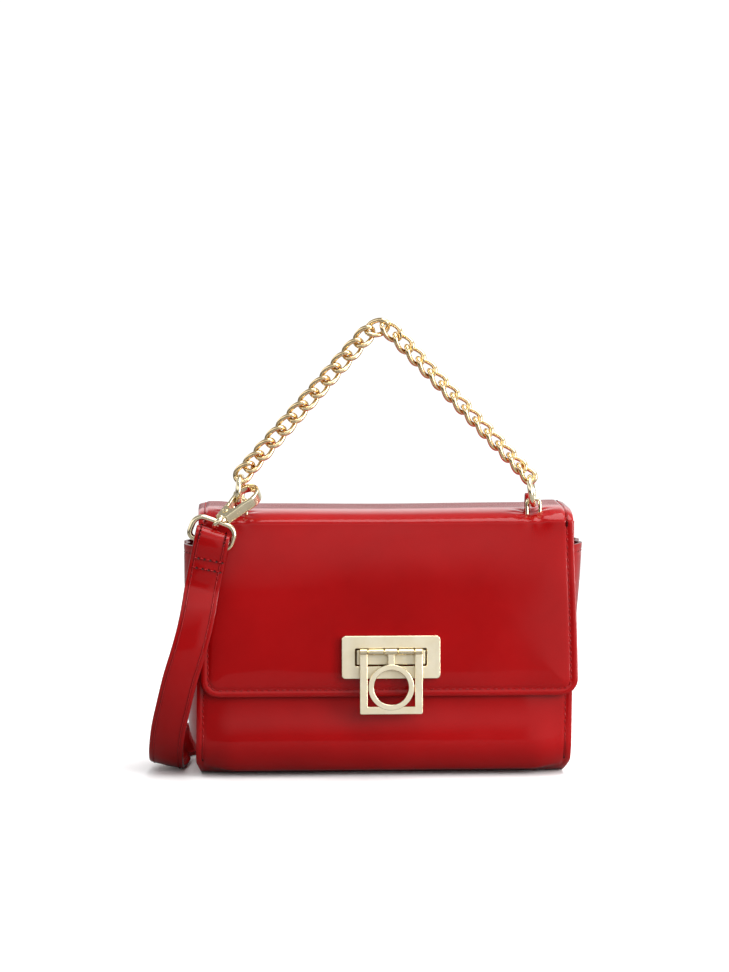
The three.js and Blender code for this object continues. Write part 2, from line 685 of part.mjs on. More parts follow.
function strapRing(hook, ring) {
  const { halfLength: w, halfHeight: h, corner: c } = STRAP_RING;
  const local = [
    [w - c, -h], [w - c * 0.3, -h + c * 0.3], [w, -h + c], [w, h - c], [w - c * 0.3, h - c * 0.3], [w - c, h],
    [0, h],
  ];
  const half = local.map(([x, y]) => [x, y]);
  const other = half.slice(0, -1).map(([x, y]) => [-x, y]).reverse();
  const points = [...half, ...other, [0, -h]];
  const [along, up] = [unit(ring.along), unit(ring.up)];
  const middle = ringMiddle(hook, ring);
  const path = points.map(([x, y]) => middle.clone().addScaledVector(along, x).addScaledVector(up, y));
  return closedWire(path, STRAP_RING.wire, 6, 26);
}

/** The strap's folded end: it goes round the strap ring's bar and is sewn to itself. */
function strapLoop(hook, ring) {
  const inside = STRAP_RING.wire + STRAP_RING.play;
  const wrap = inside + STRAP.layer;
  const half = STRAP.layer;
  const meet = Math.acos(half / wrap);
  const shape = new THREE.Shape();
  shape.moveTo(half, -STRAP.loopTail);
  shape.lineTo(half, -wrap * Math.sin(meet));
  shape.absarc(0, 0, wrap, -meet, Math.PI + meet, false);
  shape.lineTo(-half, -STRAP.loopTail);
  const hole = new THREE.Path();
  hole.absarc(0, 0, inside, 0, 2 * Math.PI);
  shape.holes.push(hole);
  const [along, up] = [unit(ring.strapAlong), unit(ring.strapUp)];
  const bar = ringMiddle(hook, ring).addScaledVector(unit(ring.up), -STRAP_RING.halfHeight);
  const solid = flat(shape, STRAP.width, 5).translate(0, 0, -STRAP.width / 2);
  return solid.applyMatrix4(frameAt(bar.toArray(), up.clone().cross(along), up, along));
}

// ---- strap ----
/** A flat strap along a route of points, each with the direction of the strap's width. */
function ribbon(route, count) {
  const middle = new THREE.CatmullRomCurve3(route.map(([p]) => V(...p)), false, 'centripetal');
  const widths = new THREE.CatmullRomCurve3(route.map(([, w]) => V(...w)), false, 'catmullrom', 0.5);
  const [half, thick] = [STRAP.width / 2, STRAP.thickness / 2];
  const side = (sign) =>
    steps(0, 1, count).map((t) => {
      const centre = middle.getPoint(t);
      const tangent = middle.getTangent(t);
      const wide = widths.getPoint(t);
      wide.addScaledVector(tangent, -wide.dot(tangent)).normalize();
      const normal = tangent.clone().cross(wide).normalize();
      return [-1, 1].map((edge) =>
        centre.clone().addScaledVector(wide, edge * half).addScaledVector(normal, sign * thick));
    });
  return betweenGrids(side(1), side(-1));
}

/** The folded strap behind the bag, as one block with the outline of its runs. */
function strapHank() {
  const round = HANK.pitch / 2;
  const skin = 1.8;
  const run = (n) => HANK.firstRun + n * HANK.pitch;
  const [right, left] = [HANK.right + round + skin, HANK.left - round - skin];
  const r = 4;
  const shape = new THREE.Shape();
  shape.moveTo(HANK.left, run(0) - skin);
  shape.lineTo(right - r, run(0) - skin);
  shape.absarc(right - r, run(0) - skin + r, r, -Math.PI / 2, 0);
  shape.lineTo(right, run(3) + skin - r);
  shape.absarc(right - r, run(3) + skin - r, r, 0, Math.PI / 2);
  shape.lineTo(HANK.tailX, run(3) + skin);
  shape.lineTo(HANK.tailX, run(4) + skin);
  shape.lineTo(left + r, run(4) + skin);
  shape.absarc(left + r, run(4) + skin - r, r, Math.PI / 2, Math.PI);
  shape.lineTo(left, run(1) - skin + r);
  shape.absarc(left + r, run(1) - skin + r, r, Math.PI, 1.5 * Math.PI);
  shape.lineTo(HANK.left, run(1) - skin);
  return flat(shape, HANK.high - HANK.low).translate(0, 0, HANK.low);
}

// ---- assembly ----
const bag = new THREE.Group();

function add(name, geometry, colour, { roughness = 0.25, metalness = 0 } = {}) {
  const material = new THREE.MeshStandardMaterial({ color: colour, roughness, metalness });
  const mesh = new THREE.Mesh(geometry, material);
  mesh.name = name;
  bag.add(mesh);
}

const METAL = { roughness: 0.18, metalness: 1 };
const CLOTH = { roughness: 0.85 };

add('front_panel', frontPanel(), COLOURS.leather);
add('base_panel', basePanel(), COLOURS.leather);
add('back_panel', backPanel(), COLOURS.leather);
add('left_gusset', gusset(-1, GUSSET.leftFlare), COLOURS.leather);
add('right_gusset', gusset(1, GUSSET.rightFlare), COLOURS.leather);
add('lining', lining(), COLOURS.lining, CLOTH);
add('base_board', baseBoard(), COLOURS.board, CLOTH);
add('slip_pocket', slipPocket(), COLOURS.lining, CLOTH);
add('magnet_socket', magnetSocket(), COLOURS.steel, METAL);

add('flap_outer', flapOuter(), COLOURS.leather);
add('flap_lining', flapLining(), COLOURS.edge);
add('lock_plate', lockPlate(), COLOURS.gold, METAL);
add('hinge_block', hingeBlock(), COLOURS.gold, METAL);
add('hinge_pin', hingePin(), COLOURS.gold, METAL);
add('drop_latch', dropLatch(), COLOURS.gold, METAL);
add('lock_back_plate', backPlate(), COLOURS.steel, METAL);
add('magnet_stud', magnetStud(), COLOURS.steel, METAL);
add('left_staple', staple(RING.left), COLOURS.gold, METAL);
add('right_staple', staple(RING.right), COLOURS.gold, METAL);

add('left_bag_ring', bagRing(RING.left), COLOURS.gold, METAL);
add('right_bag_ring', bagRing(RING.right), COLOURS.gold, METAL);
chainLinks().forEach((place, n) => {
  add(`chain_link_${String(n + 1).padStart(2, '0')}`, chainLink(place), COLOURS.chainGold, METAL);
});

for (const [side, hook, ring] of [['left', LEFT_HOOK, LEFT_RING], ['right', RIGHT_HOOK, RIGHT_RING]]) {
  add(`${side}_hook_body`, hookBody(hook), COLOURS.gold, METAL);
  add(`${side}_hook_gate`, hookGate(hook), COLOURS.gold, METAL);
  add(`${side}_swivel_eye`, swivelEye(hook, ring), COLOURS.gold, METAL);
  add(`${side}_strap_ring`, strapRing(hook, ring), COLOURS.gold, METAL);
  add(`strap_loop_${side}`, strapLoop(hook, ring), COLOURS.leather);
}
add('strap_front', ribbon(FRONT_ROUTE, 34), COLOURS.leather);
add('strap_hank', strapHank(), COLOURS.leather);
add('strap_tail', ribbon(TAIL_ROUTE, 10), COLOURS.leather);

export default bag;
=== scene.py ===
"""Looks of the chain-handled flap bag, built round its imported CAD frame.

Everything is in metres in the frame's own axes: +X right, +Y back, +Z up, front towards -Y.
"""

import math

import bmesh
import bpy
import numpy as np
from mathutils import Matrix, Vector


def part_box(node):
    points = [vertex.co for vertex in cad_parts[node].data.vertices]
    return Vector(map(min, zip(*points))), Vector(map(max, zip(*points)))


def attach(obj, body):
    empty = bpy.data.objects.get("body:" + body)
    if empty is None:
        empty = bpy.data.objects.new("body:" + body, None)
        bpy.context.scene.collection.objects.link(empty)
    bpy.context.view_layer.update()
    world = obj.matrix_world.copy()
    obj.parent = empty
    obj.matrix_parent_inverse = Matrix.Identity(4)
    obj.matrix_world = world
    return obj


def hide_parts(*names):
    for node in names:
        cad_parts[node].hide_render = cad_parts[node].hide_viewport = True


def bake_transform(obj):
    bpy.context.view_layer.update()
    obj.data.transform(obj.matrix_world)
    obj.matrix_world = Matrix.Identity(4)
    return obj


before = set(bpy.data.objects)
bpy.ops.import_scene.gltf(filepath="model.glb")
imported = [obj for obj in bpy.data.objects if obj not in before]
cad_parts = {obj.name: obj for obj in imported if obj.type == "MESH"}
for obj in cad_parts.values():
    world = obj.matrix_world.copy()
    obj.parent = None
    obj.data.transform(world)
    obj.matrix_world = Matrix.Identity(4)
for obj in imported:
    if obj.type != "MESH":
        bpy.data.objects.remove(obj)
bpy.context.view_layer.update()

MM = 0.001

# ---- sizes read from the frame ----
FLAP_LOW, FLAP_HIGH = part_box("flap_outer")
PANEL_LOW, PANEL_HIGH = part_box("front_panel")
BACK_LOW, BACK_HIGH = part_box("back_panel")
PLATE_LOW, PLATE_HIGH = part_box("lock_plate")
HALF_WIDTH = PANEL_HIGH.x
PANEL_TOP = PANEL_HIGH.z
FLAP_TOP = FLAP_HIGH.z
FLAP_EDGE = FLAP_LOW.z
FLAP_HALF = FLAP_HIGH.x

# ---- view ----
VIEW_TURN, VIEW_RISE = -2.5, 5.5  # degrees from straight on, and up
VIEW_DISTANCE = 1.75
VIEW_HEIGHT = 518.076 * MM  # how much of the scene the picture takes in, at the bag
VIEW_MIDDLE = (-12.8 * MM, -18 * MM, 154.6 * MM)

# ---- leather ----
LEATHER = 2.2 * MM
GUSSET_LEATHER = 1.8 * MM
STITCH_INSET = 3.6 * MM
STITCH_PITCH = 3.75 * MM
THREAD = 0.34 * MM
THREAD_SHARE = 0.72  # of the pitch; a needle hole takes the rest
THREAD_SLANT = 0.10
THREAD_SIDES = HOLE_SIDES = 8
SEAM_WIDTH = 0.8 * MM  # the pressed line that a seam lies in
EDGE_ROLL = 0.5 * MM  # how far in the painted edges are rounded
LINE_STEP = 0.8 * MM  # between the points of a sheet's middle line

# ---- flap ----
CORNER = 9 * MM  # its lower corners
FOLD_FRONT = 6.5 * MM
FOLD_DEPTH = 22 * MM
FOLD_BACK = 8 * MM
FLAP_STACK = 5.7 * MM  # from the front panel's face to the flap's
FLAP_ROOT = 134.5 * MM  # the height of its back edge
PAD_HEIGHT = 0.15 * MM
PAD_RISE = 1.0 * MM  # from the pressed edge to the middle
PAD_EDGE, PAD_FADE = 4.4 * MM, 4.5 * MM
STAPLE_PULL, STAPLE_PUCKER = 1.0 * MM, 0.22 * MM
CLOTH_PRESSURE = 1.5
CLOTH_STIFFNESS = 12
CLOTH_STEPS = 18
CLOTH_CAP = 0.5 * MM  # the most the pressure may move the leather
CLOTH_TAUT = 90  # smoothing passes that pull the wrinkles out

# ---- body ----
FRONT_ROUND = 19 * MM
BACK_ROUND = 12 * MM
BODY_LEAN, GROUND_LEAN = -1.1 * MM, -2.0 * MM
BELLY, BELLY_Z, BELLY_SPREAD = 3.2 * MM, 12 * MM, 22 * MM
GUSSETS = {"left": (-1, 12.5 * MM, 0.25), "right": (1, 10.7 * MM, 0.3)}  # side, flare, crease
GUSSET_TOP = 122.8 * MM
GUSSET_EDGE = 97.6 * MM
GUSSET_SEAM = 4 * MM  # below its top edge
LINING_TOP, LINING_FLOOR = 131 * MM, 5.2 * MM
LINING_HALF = 94.6 * MM
LINING_FACES = (0.4 * MM, 1.2 * MM)  # its outer and inner face, in from its place
POCKET_HALF, POCKET_LOW, POCKET_TOP = 60 * MM, 56 * MM, 118 * MM

# ---- lock: outlines are width, height and corner radius ----
LOCK_X = (PLATE_LOW.x + PLATE_HIGH.x) / 2
LOCK_Z = 65.1 * MM
PLATE = (52.4 * MM, 22.8 * MM, 2 * MM)
WINDOW = (38 * MM, 9.4 * MM, 0.7 * MM)
BLOCK = (36.4 * MM, 7.8 * MM, 0.6 * MM)
# the dark sheet in the lock window: painted shadow
WINDOW_SHADOW_SHEET = (37.7 * MM, 9.1 * MM, 0.5 * MM)
HINGE_UP, HINGE_OUT = 2.9 * MM, 4.0 * MM
BARREL_RADIUS, KNUCKLE_RADIUS, PIN_RADIUS = 1.6 * MM, 1.75 * MM, 0.75 * MM
KNUCKLES = ((-16.7, -12.6), (-3.4, 3.4), (12.6, 16.7))
BARRELS = ((-12.2, -3.8), (3.8, 12.2))
PIN_HALF = 16.9 * MM
LATCH_WIDTH, LATCH_DROP, LATCH_BAR = 33.4 * MM, 33 * MM, 4.1 * MM
LATCH_THICK, LATCH_BACK = 2.2 * MM, 2.9 * MM
LATCH_RING, LATCH_BAND = 12.2 * MM, 3.0 * MM

# ---- bag rings, staples and chain ----
RING_Y = -21 * MM
RING_RADIUS = 7.4 * MM
RING_WIRE = 1.5 * MM
RING_TURN = math.radians(9)
RING_LEAN = {"left": math.radians(2), "right": math.radians(-8)}
RING_TAB = {"left": 1.5 * MM, "right": 2.9 * MM}  # how far left of the ring the tab stands
TAB_BACK = 6.5 * MM
BAR_WIRE = 0.95 * MM
BAG_RINGS = {"left": (-79.2 * MM, 148.3 * MM), "right": (77.3 * MM, 147.4 * MM)}
LINKS = 26
LINK_WIRE = 1.33 * MM
LINK_INNER = 9.2 * MM
LINK_HALF_WIDTH = 3.75 * MM
LINK_SQUARENESS = 0.8
LINK_TWIST = math.pi / 4
LEFT_ROLL, RIGHT_ROLL = 0.2, -0.8
CHAIN_APEX = (-4.6 * MM, 244.1 * MM)
APEX_ROUND = 9 * MM

# ---- snap hooks: place in millimetres, direction of the hook, direction of its gate ----
HOOKS = {
    "left": ((-88.6, -35.7, 139.3), (0.682, 0.449, 0.577), (-0.682, 0.7, 0.213)),
    "right": ((61.3, 82.5, 4.6), (1, 0, 0), (0, 1, 0)),
}
HOOK_LENGTH = 26.5 * MM
HOOK_HALF_WIDTH = 7.5 * MM
HOOK_BAR = 2.2 * MM
GATE_BAR, GATE_WIDTH = 1.9 * MM, 4.2 * MM
GATE_START, GATE_END = 9.1 * MM, 17.7 * MM
EYE_OFFSET = {"left": 3.0 * MM, "right": 4.8 * MM}
EYE_RADIUS, EYE_WIRE = 3 * MM, 1.25 * MM
STRAP_RING_HALF = (11.4 * MM, 6 * MM)
STRAP_RING_WIRE = 1.45 * MM
RING_AXES = {  # along the straight side, up, and the shift along it
    "left": ((0.94, 0, -0.342), (0.342, 0, 0.94), -1.2 * MM),
    "right": ((0, 1, 0), (1, 0, 0), 0.0),
}

# ---- strap ----
STRAP_WIDTH = 18.5 * MM
STRAP_THICK = 2.6 * MM
STRAP_SEAM = 2.4 * MM  # in from its edges
LOOP_TAIL = 22 * MM
STRAP_AXES = {"left": ((0.98, 0, -0.2), (0.2, 0, 0.98)), "right": ((0, 1, 0), (1, 0, 0))}
STRAP_FACES = {"left": -1, "right": 1}
STRAP_SLIDE = {"left": 1.3 * MM, "right": 0.0}  # along the bar, from its middle
FOLD_RISE = {"left": 3.6 * MM, "right": 0.0}
FOLD_SEAMS = ((8.4 * MM, 3.7 * MM), (13.6 * MM, 3.3 * MM))  # below the bar, and out from it
# its middle line and the direction of its width, in millimetres
FRONT_ROUTE = [
    ((-99.15, -37.8, 103.9), (0.98, 0, -0.2)),
    ((-99.7, -38.4, 101.4), (0.98, 0, -0.2)),
    ((-101, -40.6, 93.5), (0.98, 0, -0.18)),
    ((-103.6, -42.3, 81), (0.98, 0, -0.16)),
    ((-107.2, -42.8, 68), (0.98, 0, -0.2)),
    ((-111.2, -41.4, 55), (0.97, 0, -0.24)),
    ((-114.7, -37.8, 40.5), (0.97, 0, -0.24)),
    ((-117.6, -31.8, 27), (0.97, 0, -0.24)),
    ((-119, -23.5, 15), (0.97, -0.05, -0.22)),
    ((-119.2, -15, 7.2), (0.97, -0.1, -0.2)),
    ((-118.6, -6.5, 3.9), (0.97, -0.13, -0.2)),
    ((-117.4, 2.5, 3.5), (0.96, -0.13, -0.26)),
    ((-115.8, 10, 5), (0.9, -0.12, -0.42)),
    ((-114, 17, 7.2), (0.74, -0.1, -0.67)),
    ((-112, 25, 9.2), (0.4, -0.08, -0.91)),
    ((-108.6, 33, 9.5), (0.1, 0, -0.99)),
    ((-102.5, 39.5, 9.5), (0, 0, -1)),
    ((-94, 42, 9.5), (0, 0, -1)),
    ((-85.3, 42, 9.5), (0, 0, -1)),
]
TAIL_ROUTE = [
    ((-29.6, 74, 9.5), (0, 0, -1)),
    ((-26, 74.1, 9.5), (0, 0, -1)),
    ((-18, 74.8, 9), (0, -0.3, -0.95)),
    ((-6, 76.6, 7.4), (0, -0.75, -0.66)),
    ((6, 79.2, 4.8), (0, -0.97, -0.24)),
    ((14, 81.6, 4.3), (0, -1, 0)),
    ((19, 82.5, 4.6), (0, -1, 0)),
    ((22.1, 82.5, 4.6), (0, -1, 0)),
]
HANK = {"first": 42.0, "pitch": 8.0, "left": -85.0, "right": 82.0, "height": 9.5, "end": -30.0}
HANK_RUNS = 5

# ---- studio: brightness against the direction's depth (front to back), height and side ----
WORLD_DEPTH = ((-0.35, 0.08), (-0.05, 0.08), (0.12, 0.32), (0.6, 0.30), (1.0, 0.22))
WORLD_HEIGHT = ((0.05, 0.02), (0.15, 0.70), (0.26, 1.35), (0.42, 1.2), (0.60, 0.35), (1.0, 0.40))
WORLD_SIDE = ((0.065, 0.02), (0.15, 0.8), (0.5, 0.9), (1.0, 0.3))  # left to right
FLOOR = ((-0.9, -0.6), (0.9, 0.8))
LIGHTS = (  # name, place, aim, size, watts, whether reflections show it
    ("key_top", (0.35, -0.2, 1.3), (0, 0, 0.05), (1.0, 0.8), 13, True),
    ("right_strip", (1.0, -0.55, 0.35), (0, 0, 0.1), (0.35, 0.9), 11, True),
    ("left_fill", (-1.1, -0.7, 0.5), (0, 0, 0.1), (0.3, 0.8), 0.4, True),
    ("front_fill", (1.0, -1.4, 1.0), (0, 0, 0.08), (1.2, 0.6), 7, False),
    ("paper_light", (0, 0.55, 1.1), (0, 0.6, 0), (2.4, 0.8), 11, False),
)

rng = np.random.default_rng(7)


def add_object(name, data):
    """Puts new data in the scene as an object."""
    added = bpy.data.objects.new(name, data)
    bpy.context.scene.collection.objects.link(added)
    return added


# ------------------------------------------------------------------ camera and light
def make_camera():
    """A long lens, low and a little to the left of straight on."""
    azimuth, elevation = math.radians(VIEW_TURN), math.radians(VIEW_RISE)
    away = Vector((
        math.sin(azimuth) * math.cos(elevation),
        -math.cos(azimuth) * math.cos(elevation),
        math.sin(elevation),
    ))
    data = bpy.data.cameras.new("camera")
    data.sensor_width = 36
    data.lens = data.sensor_width * VIEW_DISTANCE / VIEW_HEIGHT
    camera = add_object("camera", data)
    camera.location = Vector(VIEW_MIDDLE) + away * VIEW_DISTANCE
    camera.rotation_mode = "QUATERNION"
    camera.rotation_quaternion = (-away).to_track_quat("-Z", "Y")
    bpy.context.scene.camera = camera


def make_lights():
    """Large soft boxes; none of them is seen by the camera itself."""
    for name, place_at, aim, size, watts, in_reflections in LIGHTS:
        data = bpy.data.lights.new(name, "AREA")
        data.shape = "RECTANGLE"
        data.size, data.size_y = size
        data.energy = watts
        light = add_object(name, data)
        light.location = place_at
        light.rotation_mode = "QUATERNION"
        light.rotation_quaternion = (Vector(aim) - Vector(place_at)).to_track_quat("-Z", "Y")
        light.visible_camera = False
        light.visible_glossy = in_reflections


def fill_ramp(ramp_node, stops):
    """Sets a colour ramp's stops, each a place and a colour."""
    elements = ramp_node.color_ramp.elements
    while len(elements) < len(stops):
        elements.new(0.5)
    for element, (position, colour) in zip(elements, stops):
        element.position = position
        element.color = (*colour, 1)


def grey_ramp(tree, value, stops):
    """Maps -1..1 to shades of grey."""
    spread = tree.nodes.new("ShaderNodeMapRange")
    spread.inputs["From Min"].default_value = -1
    node = tree.nodes.new("ShaderNodeValToRGB")
    fill_ramp(node, [((at + 1) / 2, (level, level, level)) for at, level in stops])
    tree.links.new(value, spread.inputs["Value"])
    tree.links.new(spread.outputs[0], node.inputs[0])
    return node.outputs[0]


def make_world():
    """White to the camera; to all else a studio that is dark ahead, bright above and behind."""
    world = bpy.data.worlds.new("studio")
    world.use_nodes = True
    bpy.context.scene.world = world
    tree = world.node_tree
    tree.nodes.clear()
    new, link = tree.nodes.new, tree.links.new
    output = new("ShaderNodeOutputWorld")
    mix = new("ShaderNodeMixShader")
    seen = new("ShaderNodeBackground")
    seen.inputs["Strength"].default_value = 1.1
    seen.inputs["Color"].default_value = (1, 1, 1, 1)
    lit = new("ShaderNodeBackground")
    ray = new("ShaderNodeLightPath")
    direction = new("ShaderNodeTexCoord")
    split = new("ShaderNodeSeparateXYZ")
    link(direction.outputs["Generated"], split.inputs[0])
    backdrop = grey_ramp(tree, split.outputs["Y"], WORLD_DEPTH)
    ceiling = grey_ramp(tree, split.outputs["Z"], WORLD_HEIGHT)
    wall = grey_ramp(tree, split.outputs["X"], WORLD_SIDE)
    light = backdrop
    for other in (ceiling, wall):
        lighter = new("ShaderNodeMix")
        lighter.data_type = "RGBA"
        lighter.blend_type = "LIGHTEN"
        lighter.inputs[0].default_value = 1
        link(light, lighter.inputs[6])
        link(other, lighter.inputs[7])
        light = lighter.outputs[2]
    link(light, lit.inputs["Color"])
    link(ray.outputs["Is Camera Ray"], mix.inputs[0])
    link(lit.outputs[0], mix.inputs[1])
    link(seen.outputs[0], mix.inputs[2])
    link(mix.outputs[0], output.inputs["Surface"])


# ------------------------------------------------------------------ materials
def principled(name, colour, roughness, metallic=0.0, coat=0.0, coat_roughness=0.03):
    """A material with its plain values set on the shader's own sockets."""
    material = bpy.data.materials.new(name)
    material.use_nodes = True
    shader = material.node_tree.nodes["Principled BSDF"]
    shader.inputs["Base Color"].default_value = (*colour, 1)
    shader.inputs["Roughness"].default_value = roughness
    shader.inputs["Metallic"].default_value = metallic
    shader.inputs["Coat Weight"].default_value = coat
    shader.inputs["Coat Roughness"].default_value = coat_roughness
    return material


def texture(material, kind, scale, **settings):
    """A procedural texture in object coordinates; returns its value output."""
    nodes, links = material.node_tree.nodes, material.node_tree.links
    node = nodes.new(f"ShaderNodeTex{kind}")
    node.inputs["Scale"].default_value = scale
    for key, value in settings.items():
        if key in node.inputs:
            node.inputs[key].default_value = value
        else:
            setattr(node, key, value)
    coordinates = nodes.get("Coordinates")
    if coordinates is None:
        coordinates = nodes.new("ShaderNodeTexCoord")
        coordinates.name = "Coordinates"
    links.new(coordinates.outputs["Object"], node.inputs["Vector"])
    return node.outputs[0]


def ramp(material, value, stops):
    """A colour ramp driven by a texture's value."""
    node = material.node_tree.nodes.new("ShaderNodeValToRGB")
    fill_ramp(node, stops)
    material.node_tree.links.new(value, node.inputs[0])
    return node.outputs[0]


def set_colour(material, colour):
    """Links a colour to the shader."""
    shader = material.node_tree.nodes["Principled BSDF"]
    material.node_tree.links.new(colour, shader.inputs["Base Color"])


def set_roughness(material, value, low, high):
    """Spreads a texture's value between two roughnesses."""
    nodes, links = material.node_tree.nodes, material.node_tree.links
    node = nodes.new("ShaderNodeMapRange")
    node.inputs["To Min"].default_value = low
    node.inputs["To Max"].default_value = high
    links.new(value, node.inputs["Value"])
    links.new(node.outputs[0], nodes["Principled BSDF"].inputs["Roughness"])


def add_bump(material, height, distance, strength=1.0, sockets=("Normal",)):
    """Stacks one more bump on the material's normal."""
    nodes, links = material.node_tree.nodes, material.node_tree.links
    shader = nodes["Principled BSDF"]
    bump = nodes.new("ShaderNodeBump")
    bump.inputs["Distance"].default_value = distance
    bump.inputs["Strength"].default_value = strength
    links.new(height, bump.inputs["Height"])
    if shader.inputs["Normal"].is_linked:
        links.new(shader.inputs["Normal"].links[0].from_socket, bump.inputs["Normal"])
    for socket in sockets:
        links.new(bump.outputs[0], shader.inputs[socket])


def patent_leather(name, light, dark, waviness=0.35 * MM):
    """Red leather under a clear lacquer: fine grain below, slow ripples in the gloss."""
    material = principled(name, light, 0.34, coat=1.0, coat_roughness=0.04)
    shader = material.node_tree.nodes["Principled BSDF"]
    shader.inputs["Coat IOR"].default_value = 1.27
    shader.inputs["Specular IOR Level"].default_value = 0.08
    mottle = texture(material, "Noise", 14, Detail=4, Roughness=0.6)
    set_colour(material, ramp(material, mottle, [(0.3, dark), (0.7, light)]))
    set_roughness(material, texture(material, "Noise", 160, Detail=3), 0.26, 0.42)
    ripples = texture(material, "Noise", 38, Detail=1.5, Roughness=0.35)
    add_bump(material, ripples, waviness, 0.6, ("Normal", "Coat Normal"))
    grain = texture(material, "Voronoi", 1400, feature="SMOOTH_F1")
    add_bump(material, grain, 0.03 * MM, 0.5)
    return material


def polished_gold(name, light, dark, roughness):
    """Plated metal: a hint of colour change, hairline scratches and soft wear."""
    material = principled(name, light, roughness, metallic=1.0)
    tone = texture(material, "Noise", 120, Detail=3)
    set_colour(material, ramp(material, tone, [(0.35, dark), (0.65, light)]))
    wear = texture(material, "Noise", 520, Detail=5, Roughness=0.7)
    set_roughness(material, wear, roughness * 0.7, roughness * 1.7)
    scratches = texture(material, "Noise", 900, Detail=2, Distortion=1.5)
    add_bump(material, scratches, 0.012 * MM, 0.35)
    return material


def woven_cloth(name, light, dark):
    """Two crossing sets of fine threads."""
    material = principled(name, light, 0.85)
    threads = 240
    across = texture(material, "Wave", threads, bands_direction="X", Distortion=0.3)
    along = texture(material, "Wave", threads, bands_direction="Z", Distortion=0.3)
    nodes, links = material.node_tree.nodes, material.node_tree.links
    weave = nodes.new("ShaderNodeMath")
    weave.operation = "MULTIPLY"
    links.new(across, weave.inputs[0])
    links.new(along, weave.inputs[1])
    set_colour(material, ramp(material, weave.outputs[0], [(0.1, dark), (0.8, light)]))
    add_bump(material, weave.outputs[0], 0.12 * MM, 0.7)
    return material


def fibreboard():
    """Pressed fibres in uneven browns."""
    material = principled("fibreboard", (0.42, 0.34, 0.24), 0.9)
    fibre = texture(material, "Noise", 240, Detail=8, Roughness=0.8)
    set_colour(material, ramp(material, fibre, [(0.3, (0.30, 0.23, 0.16)), (0.7, (0.46, 0.38, 0.28))]))
    add_bump(material, fibre, 0.15 * MM)
    return material


def satin_steel():
    """Brushed steel for the hidden plates."""
    material = principled("satin_steel", (0.62, 0.62, 0.64), 0.3, metallic=1.0)
    brushed = texture(material, "Noise", 700, Detail=4)
    set_roughness(material, brushed, 0.22, 0.42)
    add_bump(material, brushed, 0.02 * MM, 0.4)
    return material


def sewing_thread(name, light, dark, roughness=0.28):
    """Twisted thread with its ply."""
    material = principled(name, light, roughness)
    material.node_tree.nodes["Principled BSDF"].inputs["Specular IOR Level"].default_value = 0.2
    ply = texture(material, "Wave", 900, Distortion=1)
    set_colour(material, ramp(material, ply, [(0.2, dark), (0.8, light)]))
    add_bump(material, ply, 0.08 * MM)
    return material


def studio_floor():
    """White paper to the camera; a dimmer table to the light it throws back on the bag."""
    material = principled("studio_floor", (0.93, 0.93, 0.93), 0.8)
    nodes, links = material.node_tree.nodes, material.node_tree.links
    paper = texture(material, "Noise", 60, Detail=5)
    white = ramp(material, paper, [(0.3, (0.925, 0.925, 0.925)), (0.7, (0.935, 0.935, 0.935))])
    ray = nodes.new("ShaderNodeLightPath")
    mix = nodes.new("ShaderNodeMix")
    mix.data_type = "RGBA"
    mix.inputs[6].default_value = (0.24, 0.24, 0.24, 1)
    links.new(ray.outputs["Is Camera Ray"], mix.inputs[0])
    links.new(white, mix.inputs[7])
    set_colour(material, mix.outputs[2])
    return material


RED = patent_leather("patent_leather", (0.35, 0.0022, 0.003), (0.27, 0.0014, 0.002))
EDGE = patent_leather("edge_paint", (0.20, 0.003, 0.005), (0.14, 0.002, 0.003), 0.1 * MM)
THREAD_RED = sewing_thread("red_thread", (0.36, 0.006, 0.007), (0.24, 0.003, 0.004))
# the same red thread made lighter for the strap and its fold seams: painted highlight; its lower roughness
# is real gloss
STRAP_THREAD_LIGHTENED = sewing_thread("strap_thread_painted_highlight", (0.44, 0.014, 0.016), (0.30, 0.007, 0.009), 0.2)
# near-black colour for the needle holes: painted shade, the darkness inside each hole
NEEDLE_HOLE_SHADE = sewing_thread("needle_hole_painted_shade", (0.07, 0.002, 0.002), (0.04, 0.001, 0.001))
SUEDE = woven_cloth("flap_lining_cloth", (0.20, 0.010, 0.014), (0.10, 0.005, 0.008))
LINING = woven_cloth("lining_cloth", (0.045, 0.032, 0.036), (0.016, 0.012, 0.014))
GOLD = polished_gold("pale_gold", (0.90, 0.80, 0.56), (0.84, 0.72, 0.47), 0.13)
CHAIN_GOLD = polished_gold("warm_gold", (0.88, 0.69, 0.41), (0.80, 0.59, 0.31), 0.12)
# dark brown metal for the sheet in the lock window: painted shadow round the barrels
WINDOW_SHADOW_PAINT = polished_gold("painted_window_shadow", (0.10, 0.06, 0.03), (0.05, 0.03, 0.015), 0.4)
SATIN_GOLD = polished_gold("satin_gold", (0.93, 0.85, 0.66), (0.89, 0.80, 0.59), 0.46)
STEEL = satin_steel()
BOARD = fibreboard()


# ------------------------------------------------------------------ mesh helpers
def clean_mesh(mesh, merge=0.0):
    """Turns the faces outwards, after merging points that lie together."""
    work = bmesh.new()
    work.from_mesh(mesh)
    if merge:
        bmesh.ops.remove_doubles(work, verts=work.verts, dist=merge)
    bmesh.ops.recalc_face_normals(work, faces=work.faces)
    work.to_mesh(mesh)
    work.free()


def shade_smooth(mesh, sharp_degrees):
    """Smooth faces, with sharp edges only where they meet at more than an angle."""
    mesh.polygons.foreach_set("use_smooth", [True] * len(mesh.polygons))
    mesh.set_sharp_from_angle(angle=math.radians(sharp_degrees))


